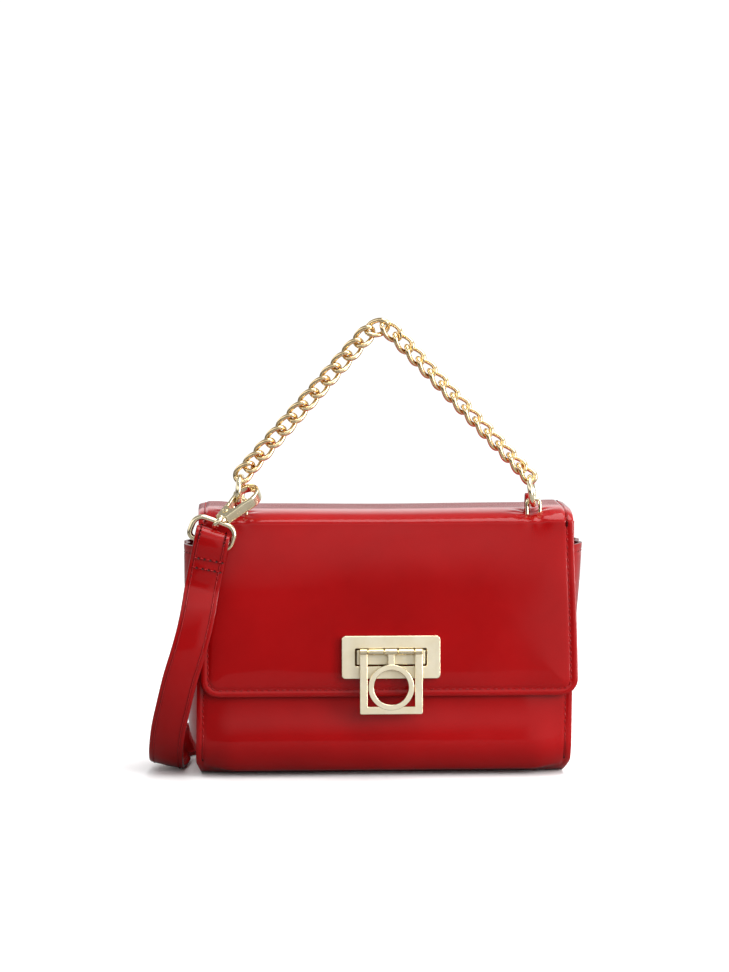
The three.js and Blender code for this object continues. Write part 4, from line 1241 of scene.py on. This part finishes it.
def make_pocket():
    """The slip pocket sewn to the lining's back wall."""
    z, x = grid_over(POCKET_LOW, POCKET_TOP, 30, -POCKET_HALF, POCKET_HALF, 60)
    wall = inside_y(z, False) - 1.8 * MM
    sag = 1.0 * MM * np.exp(-(POCKET_TOP - z) / (14 * MM)) * (1 - (x / POCKET_HALF) ** 2)
    front, back = (np.stack([x, wall - lift - sag, z], axis=-1) for lift in (0.9 * MM, 0.1 * MM))
    pocket = solid_between("slip_pocket_cloth", front, back, LINING)
    place(pocket, "bag", ["slip_pocket"])
    side, low, top = POCKET_HALF - 3 * MM, POCKET_LOW + 3 * MM, POCKET_TOP - 4 * MM
    edge = [(-side, 0, low), (-side, 0, top), (side, 0, top), (side, 0, low)]
    path = resample(np.array(edge), 1 * MM)
    path[:, 1] = inside_y(path[:, 2], False) - 2.9 * MM
    normals = np.repeat([[0.0, -1.0, 0.0]], len(path), axis=0)
    stitches("pocket_stitching", [(path, normals)], "bag", radius=0.2 * MM)


# ------------------------------------------------------------------ lock
def lock_frame():
    """Lies on the flap behind the plate: +Z out of the bag, +Y up the flap."""
    reach = 8 * MM
    tilt = math.atan2(float(flap_y(LOCK_Z + reach) - flap_y(LOCK_Z - reach)), 2 * reach)
    out = (0, -math.cos(tilt), math.sin(tilt))
    up = (0, math.sin(tilt), math.cos(tilt))
    return frame_matrix((LOCK_X, float(flap_y(LOCK_Z)), LOCK_Z), (1, 0, 0), up, out)


def turned_rod(name, x0, x1, radius, matrix, material, ease_end=0.35 * MM):
    """A short round bar along local X with eased ends."""
    stations = [(x0, radius * 0.3), (x0, radius - ease_end), (x0 + ease_end, radius),
                (x1 - ease_end, radius), (x1, radius - ease_end), (x1, radius * 0.3)]
    path = np.array([(x, HINGE_UP, HINGE_OUT) for x, _ in stations])
    path[:, 0] += np.linspace(0, 1e-6, len(path))  # no two rings in one place
    sections = np.array([circle(r, 28) for _, r in stations])
    rod = sweep(name, path, [(0, 1, 0)] * len(path), [(0, 0, 1)] * len(path), sections, material)
    rod.data.transform(matrix)
    rod.data.set_sharp_from_angle(angle=math.radians(35))
    return rod


def make_lock():
    """The plate with its window, the block of barrels in it, the pin and the latch."""
    matrix = lock_frame()
    plate = flat_solid("lock_plate_face", rounded_outline(*PLATE), [rounded_outline(*WINDOW)],
                       2.3 * MM, 0.4 * MM, matrix, SATIN_GOLD, 0.3 * MM)
    place(plate, "flap", ["lock_plate"])
    base = flat_solid("block_base", rounded_outline(*BLOCK), [], 1.8 * MM, 0.3 * MM,
                      matrix, SATIN_GOLD, 0.3 * MM)
    # a thin dark sheet behind the window, under the block: painted shadow in the window's gap
    shadow_sheet = flat_solid("window_shadow_sheet", rounded_outline(*WINDOW_SHADOW_SHEET), [], 0.4 * MM, 0.1 * MM,
                         matrix, WINDOW_SHADOW_PAINT, 0.1 * MM)
    parts = [base, shadow_sheet]
    for n, (a, b) in enumerate(BARRELS):
        parts.append(turned_rod(f"barrel_{n}", a * MM, b * MM, BARREL_RADIUS, matrix, GOLD))
        saddle = rounded_outline((b - a) * MM, 2.6 * MM, 0.4 * MM, (a + b) / 2 * MM, HINGE_UP)
        parts.append(flat_solid(f"saddle_{n}", saddle, [], 3.0 * MM, 0.2 * MM, matrix, GOLD, 1.0 * MM))
    place(join_pieces("hinge_block_barrels", parts), "flap", ["hinge_block"])
    pin = turned_rod("latch_pin", -PIN_HALF, PIN_HALF, PIN_RADIUS, matrix, GOLD, 0.2 * MM)
    place(pin, "latch", ["hinge_pin"])
    make_latch(matrix)


def make_latch(matrix):
    """The openwork drop latch: two legs and a foot round a plain ring on a stem, on three knuckles."""
    low, bar = HINGE_UP - LATCH_DROP, LATCH_BAR
    half, top, turn = LATCH_WIDTH / 2, HINGE_UP + 0.4 * MM, 1 * MM
    ring_y = low + bar / 2 + LATCH_RING
    legs_and_foot = [
        (-half, top), *arc(-half + turn, low + turn, turn, 180, 270, 6),
        *arc(half - turn, low + turn, turn, 270, 360, 6), (half, top),
        (half - bar, top), (half - bar, low + bar), (-half + bar, low + bar), (-half + bar, top),
    ]
    stem_low = ring_y + LATCH_RING - LATCH_BAND / 2
    stem = rounded_outline(3.6 * MM, HINGE_UP - stem_low + 1 * MM, 0.5 * MM, 0, (HINGE_UP + stem_low) / 2)
    ring = arc(0, ring_y, LATCH_RING, 0, 354, 60)
    hole = arc(0, ring_y, LATCH_RING - LATCH_BAND, 0, 354, 60)
    parts = [
        flat_solid(name, outline, holes, LATCH_THICK, bevel, matrix, SATIN_GOLD, LATCH_BACK + raised)
        for name, outline, holes, bevel, raised in (
            ("legs_and_foot", legs_and_foot, [], 0.35 * MM, 0.0),
            ("stem", stem, [], 0.35 * MM, 0.0),
            ("ring", ring, [hole], 0.4 * MM, 0.15 * MM),
        )
    ]
    for n, (a, b) in enumerate(KNUCKLES):
        parts.append(turned_rod(f"knuckle_{n}", a * MM, b * MM, KNUCKLE_RADIUS, matrix, GOLD))
    place(join_pieces("drop_latch_openwork", parts), "latch", ["drop_latch"])


# ------------------------------------------------------------------ rings, staples and chain
def ring_place(side):
    """The ring's foot, its middle and its top; it leans a little towards the chain's pull."""
    x, bar_z = BAG_RINGS[side]
    foot = np.array([x, RING_Y, bar_z - BAR_WIRE - 0.35 * MM - RING_WIRE])
    lean = np.array([math.sin(RING_LEAN[side]), 0, math.cos(RING_LEAN[side])])
    return foot, foot + lean * RING_RADIUS, foot + lean * 2 * RING_RADIUS


def make_staple(side):
    """A small bow of wire that stands up out of the flap and holds the ring."""
    x, bar_z = BAG_RINGS[side]
    half, bend, low = 3.4 * MM, 1.8 * MM, FLAP_TOP - 3 * MM
    arch = [
        (half, low), (half, bar_z - bend), (half - bend * 0.3, bar_z - bend * 0.3),
        (half - bend, bar_z), (0, bar_z),
    ]
    arch = arch + [(-a, z) for a, z in arch[-2::-1]]
    path = smooth_curve([(x + a, RING_Y, z) for a, z in arch], 8)
    staple = wire(f"{side}_staple_wire", path, BAR_WIRE, GOLD)
    place(staple, "flap", [f"{side}_staple"])


def make_ring_tab(side):
    """A narrow leather loop that stands on the flap behind the ring."""
    line = [(-3.4, -3.0), (-3.2, 3.2), (-1.9, 6.5), (0, 7.4), (1.9, 6.5), (3.2, 3.2), (3.4, -3.0)]
    x, y = BAG_RINGS[side][0] - RING_TAB[side], RING_Y + TAB_BACK
    path = smooth_curve([(x, y + back * MM, FLAP_TOP + up * MM) for back, up in line], 8)
    along = tangents(path)
    across = np.repeat([[1.0, 0.0, 0.0]], len(path), axis=0)
    tab = sweep(f"{side}_ring_tab", path, across, np.cross(along, across),
                rounded_section(1.1 * MM, 0.8 * MM), RED)
    place(tab, "flap")


def make_bag_rings():
    """On each side the round ring that the chain hangs on, its staple and its tab."""
    for side in BAG_RINGS:
        foot, centre, top = ring_place(side)
        up = unit(top - foot)
        across = unit(np.cross(up, (math.cos(RING_TURN), -math.sin(RING_TURN), 0)))
        angles = np.linspace(0, 2 * math.pi, 72, endpoint=False)[:, None]
        path = centre + RING_RADIUS * (np.cos(angles) * across + np.sin(angles) * up)
        ring = wire(f"{side}_bag_ring_wire", path, RING_WIRE, GOLD, closed=True, sides=20)
        place(ring, "handle", [f"{side}_bag_ring"])
        make_staple(side)
        make_ring_tab(side)


def chain_path():
    """From the left ring's top, over the rounded apex, to the right ring's."""
    top = [ring_place(side)[2] for side in ("left", "right")]
    apex = np.array([CHAIN_APEX[0], RING_Y, CHAIN_APEX[1]])
    enter = apex + unit(top[0] - apex) * APEX_ROUND
    leave = apex + unit(top[1] - apex) * APEX_ROUND
    t = np.linspace(0, 1, 80)[:, None]
    bend = (1 - t) ** 2 * enter + 2 * t * (1 - t) * apex + t ** 2 * leave
    return resample(np.vstack([top[0], bend, top[1]]), 0.1 * MM)


def link_mesh():
    """A curb link lying along X: a squared oval of wire, twisted about its length."""
    half_length = LINK_INNER / 2 + LINK_WIRE
    a, b = superellipse(np.linspace(0, 2 * math.pi, 400, endpoint=False), LINK_SQUARENESS)
    x, across = half_length * a, LINK_HALF_WIDTH * b
    turn = LINK_TWIST * x / half_length
    path = np.stack([x, across * np.cos(turn), across * np.sin(turn)], axis=1)
    path = resample(path, 0.55 * MM, closed=True)
    template = wire("chain_link_pattern", path, LINK_WIRE, CHAIN_GOLD, closed=True, sides=14)
    mesh = template.data
    bpy.data.objects.remove(template)
    return mesh


def make_chain():
    """The links, each turned about the chain a little further than the one before."""
    path = chain_path()
    length = float(np.linalg.norm(np.diff(path, axis=0), axis=1).sum())
    inset = LINK_INNER / 2 - RING_WIRE - 1.2 * MM
    pitch = (length - 2 * inset) / (LINKS - 1)
    at = np.linspace(0, length, len(path))

    def point(distance):
        distance = min(max(distance, 0), length)
        return np.array([np.interp(distance, at, path[:, k]) for k in range(3)])

    mesh = link_mesh()
    for n in range(LINKS):
        middle = inset + n * pitch
        start, end = point(middle - pitch / 2), point(middle + pitch / 2)
        along = unit(end - start)
        across = unit(np.cross((0.0, 1.0, 0.0), along))
        roll = LEFT_ROLL + (RIGHT_ROLL - LEFT_ROLL) * float(ease(9, 17, n))
        roll += rng.uniform(-0.05, 0.05)
        y_axis = across * math.cos(roll) + np.cross(along, across) * math.sin(roll)
        link = add_object(f"curb_link_{n + 1:02d}", mesh)
        link.matrix_world = frame_matrix((start + end) / 2, along, y_axis, np.cross(along, y_axis))
        place(link, "handle", [f"chain_link_{n + 1:02d}"])


# ------------------------------------------------------------------ snap hooks
def hook_axes(side):
    """The hook's origin, the way it points, the way its gate faces, and its plane's normal."""
    origin, along, gate_side = HOOKS[side]
    along = unit(along)
    normal = unit(np.cross(along, unit(gate_side)))
    return np.array(origin) * MM, along, np.cross(normal, along), normal


def ring_axes(side):
    """The strap ring's straight side and its up."""
    return unit(RING_AXES[side][0]), unit(RING_AXES[side][1])


def strap_axes(side):
    """The folded strap end's width, its up and its outer face's direction."""
    along, up = (unit(v) for v in STRAP_AXES[side])
    return along, up, np.cross(up, along) * STRAP_FACES[side]


def hook_line():
    """The closed middle line of the hook's loop in its own plane, from the block round to the block."""
    middle = HOOK_HALF_WIDTH - HOOK_BAR / 2
    end = HOOK_LENGTH - HOOK_HALF_WIDTH
    nose = arc(end, 0, middle, -90, 90, 30)
    lower = [(0.4 * MM, -3.0 * MM), (6 * MM, -3.9 * MM), (12 * MM, -5.1 * MM), (end - 2 * MM, -middle)]
    upper = [(end - 2 * MM, middle), (16 * MM, 5.5 * MM), (11 * MM, 4.0 * MM), (7 * MM, 2.6 * MM)]
    return resample(smooth_curve(np.array([*lower, *nose, *upper]), 6), 0.3 * MM)


def hook_band(name, line, widths, thickness, side, material):
    """A flat band on its edge along a line in the hook's plane; widths run across the plane."""
    origin, along, gate_side, normal = hook_axes(side)
    path = origin + line[:, :1] * along + line[:, 1:] * gate_side
    in_plane = tangents(line)
    out = in_plane[:, 1:] * along - in_plane[:, :1] * gate_side
    sections = np.array([rounded_section(thickness / 2, w / 2, 6, 28) for w in widths])
    return sweep(name, path, out, np.repeat(normal[None], len(path), axis=0), sections, material)


def hook_block(side):
    """The hook's solid root with its hollow rivet."""
    local = frame_matrix(*hook_axes(side))
    outline = [
        (0.0, -2.9), (7.0, -3.6), (8.6, -3.4), (8.0, -2.4), (6.6, -1.4), (6.3, 0),
        (6.6, 1.2), (7.6, 2.1), (7.4, 3.9), (6.4, 4.1), (0.6, 3.0), (0.0, 2.5),
    ]
    rivet_at = local @ Matrix.Translation((3.9 * MM, 1.0 * MM, 2.35 * MM))
    rim, well, head = (arc(0, 0, r * MM, 0, 350, n) for r, n in ((1.6, 32), (0.9, 24), (0.85, 24)))
    return [
        flat_solid(f"{side}_block", [(u * MM, v * MM) for u, v in outline], [], 5.0 * MM, 0.4 * MM,
                   local, GOLD, -2.6 * MM),
        flat_solid(f"{side}_rivet", rim, [well], 0.5 * MM, 0.15 * MM, rivet_at, GOLD),
        flat_solid(f"{side}_rivet_head", head, [], 0.45 * MM, 0.15 * MM, rivet_at, GOLD),
    ]


def make_hook(side, body, gate_body, eye_body):
    """A snap hook: its band of metal with the gate between two gaps, its block and its swivel."""
    line = hook_line()
    gate = (line[:, 1] > 0) & (line[:, 0] > GATE_START) & (line[:, 0] < GATE_END)
    gate_index = np.where(gate)[0]
    before, after = line[:gate_index[0] - 1], line[gate_index[-1] + 2:]
    width = 4.4 * MM + 1.7 * MM * ease(3 * MM, -5.5 * MM, before[:, 1])
    parts = [
        hook_band(f"{side}_frame", before, width, HOOK_BAR, side, GOLD),
        hook_band(f"{side}_stub", after, np.full(len(after), 5.2 * MM), HOOK_BAR, side, GOLD),
        *hook_block(side),
    ]
    place(join_pieces(f"{side}_snap_hook", parts), body, [f"{side}_hook_body"])
    gate_bar = hook_band(f"{side}_hook_gate_bar", line[gate_index],
                         np.full(len(gate_index), GATE_WIDTH), GATE_BAR, side, GOLD)
    place(gate_bar, gate_body, [f"{side}_hook_gate"])
    make_swivel(side, eye_body)


def make_swivel(side, body):
    """The collar, with its turned grooves, and the eye that the strap ring hangs in."""
    origin, along, gate_side, normal = hook_axes(side)
    ring_along, _ = ring_axes(side)
    axis = unit(ring_along - along * np.dot(ring_along, along))
    across = np.cross(axis, along)
    profile = [
        (-0.1, 3.0), (-0.3, 3.6), (-0.8, 3.6), (-0.95, 3.15), (-1.1, 3.15), (-1.25, 3.5), (-1.6, 3.5),
        (-1.75, 3.0), (-1.9, 3.0), (-2.1, 2.4), (-2.3, 1.6),
    ]
    stations = [(-0.05, 0.4), *profile, (-2.4, 0.4)]
    path = np.array([origin + along * u * MM for u, _ in stations])
    sections = np.array([circle(r * MM, 32) for _, r in stations])
    collar = sweep(f"{side}_collar", path, [gate_side] * len(path), [normal] * len(path), sections, GOLD)
    collar.data.set_sharp_from_angle(angle=math.radians(30))
    centre = origin - along * EYE_OFFSET[side]
    angles = np.linspace(0, 2 * math.pi, 56, endpoint=False)
    loop = centre + EYE_RADIUS * (np.cos(angles)[:, None] * across + np.sin(angles)[:, None] * along)
    eye = wire(f"{side}_eye", loop, EYE_WIRE, GOLD, closed=True)
    place(join_pieces(f"{side}_swivel", [collar, eye]), body, [f"{side}_swivel_eye"])


def strap_ring_middle(side):
    """The ring hangs by its round side in the hook's eye."""
    origin, along, _, _ = hook_axes(side)
    ring_along, up = ring_axes(side)
    centre = origin - along * EYE_OFFSET[side]
    return centre - up * STRAP_RING_HALF[1] + ring_along * RING_AXES[side][2]


def strap_bar(side):
    """The place on the ring's straight side that the strap's middle hangs from."""
    ring_along, up = ring_axes(side)
    return strap_ring_middle(side) - up * STRAP_RING_HALF[1] + ring_along * STRAP_SLIDE[side]


def make_strap_ring(side, body):
    """An oval ring with a straight side for the strap."""
    w, h = STRAP_RING_HALF
    sharp, blunt = 3.0 * MM, 5.4 * MM  # the corners' radii, below and above
    outline = [
        *arc(w - sharp, -h + sharp, sharp, -90, -10, 8),
        *arc(w - blunt, h - blunt, blunt, 10, 90, 12),
        *arc(-w + blunt, h - blunt, blunt, 90, 170, 12),
        *arc(-w + sharp, -h + sharp, sharp, 190, 270, 8),
    ]
    flat = resample(smooth_curve(outline, 4, closed=True), 0.5 * MM, closed=True)
    ring_along, up = ring_axes(side)
    path = strap_ring_middle(side) + flat[:, :1] * ring_along + flat[:, 1:] * up
    ring = wire(f"{side}_strap_ring_wire", path, STRAP_RING_WIRE, GOLD, closed=True, sides=18)
    return place(ring, body, [f"{side}_strap_ring"])


# ------------------------------------------------------------------ shoulder strap
def strap_fold(side):
    """The strap's end, from the tip of its tail round the ring's bar and back down the front."""
    along, up, out = strap_axes(side)
    bar = strap_bar(side)
    wrap = STRAP_RING_WIRE + 0.35 * MM + STRAP_THICK / 2
    layer = STRAP_THICK / 2 + 0.15 * MM
    rise = FOLD_RISE[side]
    tail = [(layer, -LOOP_TAIL), (layer, -LOOP_TAIL * 0.6), (layer + 0.2 * MM, -9 * MM),
            (wrap * 0.93, -3.2 * MM), (wrap, rise * 0.5)]
    plan = [(-p, q) for p, q in tail] + arc(0, rise, wrap * 0.96, 180, 0, 22) + tail[:0:-1]
    path = smooth_curve([bar + p * out + q * up for p, q in plan], 4)
    at_bar = ease(-9 * MM, 1 * MM, (path - bar) @ up)[:, None]
    return path, unit(along * (1 - at_bar) + ring_axes(side)[0] * at_bar)


def hank_line():
    """The folded runs behind the bag: straight stretches joined by U-turns."""
    left, right, height = HANK["left"], HANK["right"], HANK["height"]
    half_pitch = HANK["pitch"] / 2
    wave, fade = np.linspace(0, 3 * math.pi, 40), np.sin(np.linspace(0, math.pi, 40))
    points = []
    for n in range(HANK_RUNS):
        y = HANK["first"] + n * HANK["pitch"]
        sign = 1 if n % 2 == 0 else -1
        last = n == HANK_RUNS - 1
        start, end = (left, right)[::sign]
        if last:
            end = HANK["end"]
        bow = 0.5 * np.sin(wave + n) * fade
        points += [(x, y + b, height) for x, b in zip(np.linspace(start, end, 40), bow)]
        if not last:
            turn = arc(0, 0, half_pitch, -90, 90, 16)[1:-1]
            points += [(end + sign * a, y + half_pitch + b, height) for a, b in turn]
    return np.array(points) * MM


def strap_route():
    """The whole strap's middle line with the direction of its width."""
    front, front_wide = (smooth_curve([stop[k] for stop in FRONT_ROUTE], 12) for k in (0, 1))
    tail, tail_wide = (smooth_curve([stop[k] for stop in TAIL_ROUTE], 10) for k in (0, 1))
    hank = hank_line()
    hank_wide = np.repeat([[0.0, 0.0, -1.0]], len(hank), axis=0)
    left, left_wide = strap_fold("left")
    right, right_wide = strap_fold("right")
    skip = 4
    path = np.vstack([left, front[skip:] * MM, hank[1:], tail[1:-skip] * MM, right[::-1]])
    wide = np.vstack([left_wide, front_wide[skip:], hank_wide[1:], tail_wide[1:-skip], -right_wide[::-1]])
    tiny = 1e-6  # the widths' directions go along without counting as length
    both = resample(np.hstack([path, wide * tiny]), 1.3 * MM)
    path, wide = both[:, :3], both[:, 3:] / tiny
    for _ in range(3):
        path[1:-1] = (path[:-2] + 2 * path[1:-1] + path[2:]) / 4
    along = tangents(path)
    wide = unit(wide - along * np.sum(wide * along, axis=1, keepdims=True))
    return path, along, wide


def make_strap():
    """The strap with painted rims and a sewn groove along each edge."""
    path, along, wide = strap_route()
    out = np.cross(along, wide)
    count = 28
    half = STRAP_WIDTH / 2
    section = rounded_section(half, STRAP_THICK / 2, 7, count)
    from_middle = np.abs(section[:, 0])
    crown = 0.25 * MM * (1 - (from_middle / half) ** 2)
    groove = -0.3 * MM * bell(from_middle - half + STRAP_SEAM, 0.7 * MM)
    section[:, 1] += (crown + groove) * np.sign(section[:, 1])
    rims = [n for n in range(count) if from_middle[n] > half - 0.12 * MM]
    strap = sweep("shoulder_strap", path, wide, out, section, RED, edge_columns=rims)
    across, lift = wide * (half - STRAP_SEAM), out * (STRAP_THICK / 2 + 0.05 * MM)
    rows = [(path + across * edge + lift * face, out * face) for edge in (-1, 1) for face in (-1, 1)]
    sewing = stitches("strap_stitching", rows, None, 0.3 * MM, 3.4 * MM, STRAP_THREAD_LIGHTENED)
    for piece in (strap, sewing):
        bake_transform(piece)
    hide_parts("strap_front", "strap_hank", "strap_tail", "strap_loop_left", "strap_loop_right")
    length = float(np.linalg.norm(np.diff(path, axis=0), axis=1).sum())
    return strap, path, length


def make_fold_seams():
    """The two rows of stitches across each folded end."""
    for side, body in (("left", "flap"), ("right", "bag")):
        along, up, out = strap_axes(side)
        t = np.linspace(-6.4 * MM, 6.4 * MM, 20)[:, None]
        rows = [
            (strap_bar(side) - up * down + along * t + out * lift, np.repeat([out], len(t), axis=0))
            for down, lift in FOLD_SEAMS
        ]
        stitches(f"{side}_fold_stitching", rows, body, 0.38 * MM, 2.9 * MM, STRAP_THREAD_LIGHTENED)


def make_tie():
    """The soft band that holds the folded strap together behind the bag."""
    loop = rounded_outline(38.4 * MM, 19.9 * MM, 2.5 * MM, 58 * MM, 9.97 * MM)
    flat = resample(np.array(loop), 1 * MM, closed=True)
    path = np.stack([np.full(len(flat), -55 * MM), flat[:, 0], flat[:, 1]], axis=1)
    along = tangents(path, closed=True)
    across = np.repeat([[1.0, 0.0, 0.0]], len(path), axis=0)
    tie = sweep("strap_tie", path, across, np.cross(along, across),
                rounded_section(6.5 * MM, 0.25 * MM, 6, 20), LINING, closed=True)
    place(tie, "bag")


# ------------------------------------------------------------------ build
def finish_cad_nodes():
    """The pieces whose CAD shape is kept get their real material."""
    kept = {"base_board": BOARD, "magnet_socket": STEEL, "magnet_stud": STEEL, "lock_back_plate": STEEL}
    for name, material in kept.items():
        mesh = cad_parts[name].data
        mesh.materials.clear()
        mesh.materials.append(material)


def make_floor():
    """A sheet of white paper under the bag, seen brighter than white."""
    (x0, y0), (x1, y1) = FLOOR
    x, y = np.meshgrid(np.linspace(x0, x1, 40), np.linspace(y0, y1, 40), indexing="ij")
    top = np.stack([x, y, np.full_like(x, -0.05 * MM)], axis=-1)
    floor = solid_between("studio_floor", top, top - (0, 0, 1 * MM), studio_floor())


make_camera()
strap, strap_line, strap_length = make_strap()
make_strap_ring("left", "flap")
right_ring = make_strap_ring("right", "bag")
make_hook("left", "flap", "left_gate", "left_eye")
make_hook("right", "right_hook", "right_gate", "bag")
make_fold_seams()
make_tie()
make_shell()
make_gussets()
make_lining()
make_pocket()
make_flap()
make_flap_lining()
make_lock()
make_bag_rings()
make_chain()
finish_cad_nodes()
make_floor()
make_world()
make_lights()
bpy.context.scene.view_settings.view_transform = "Standard"
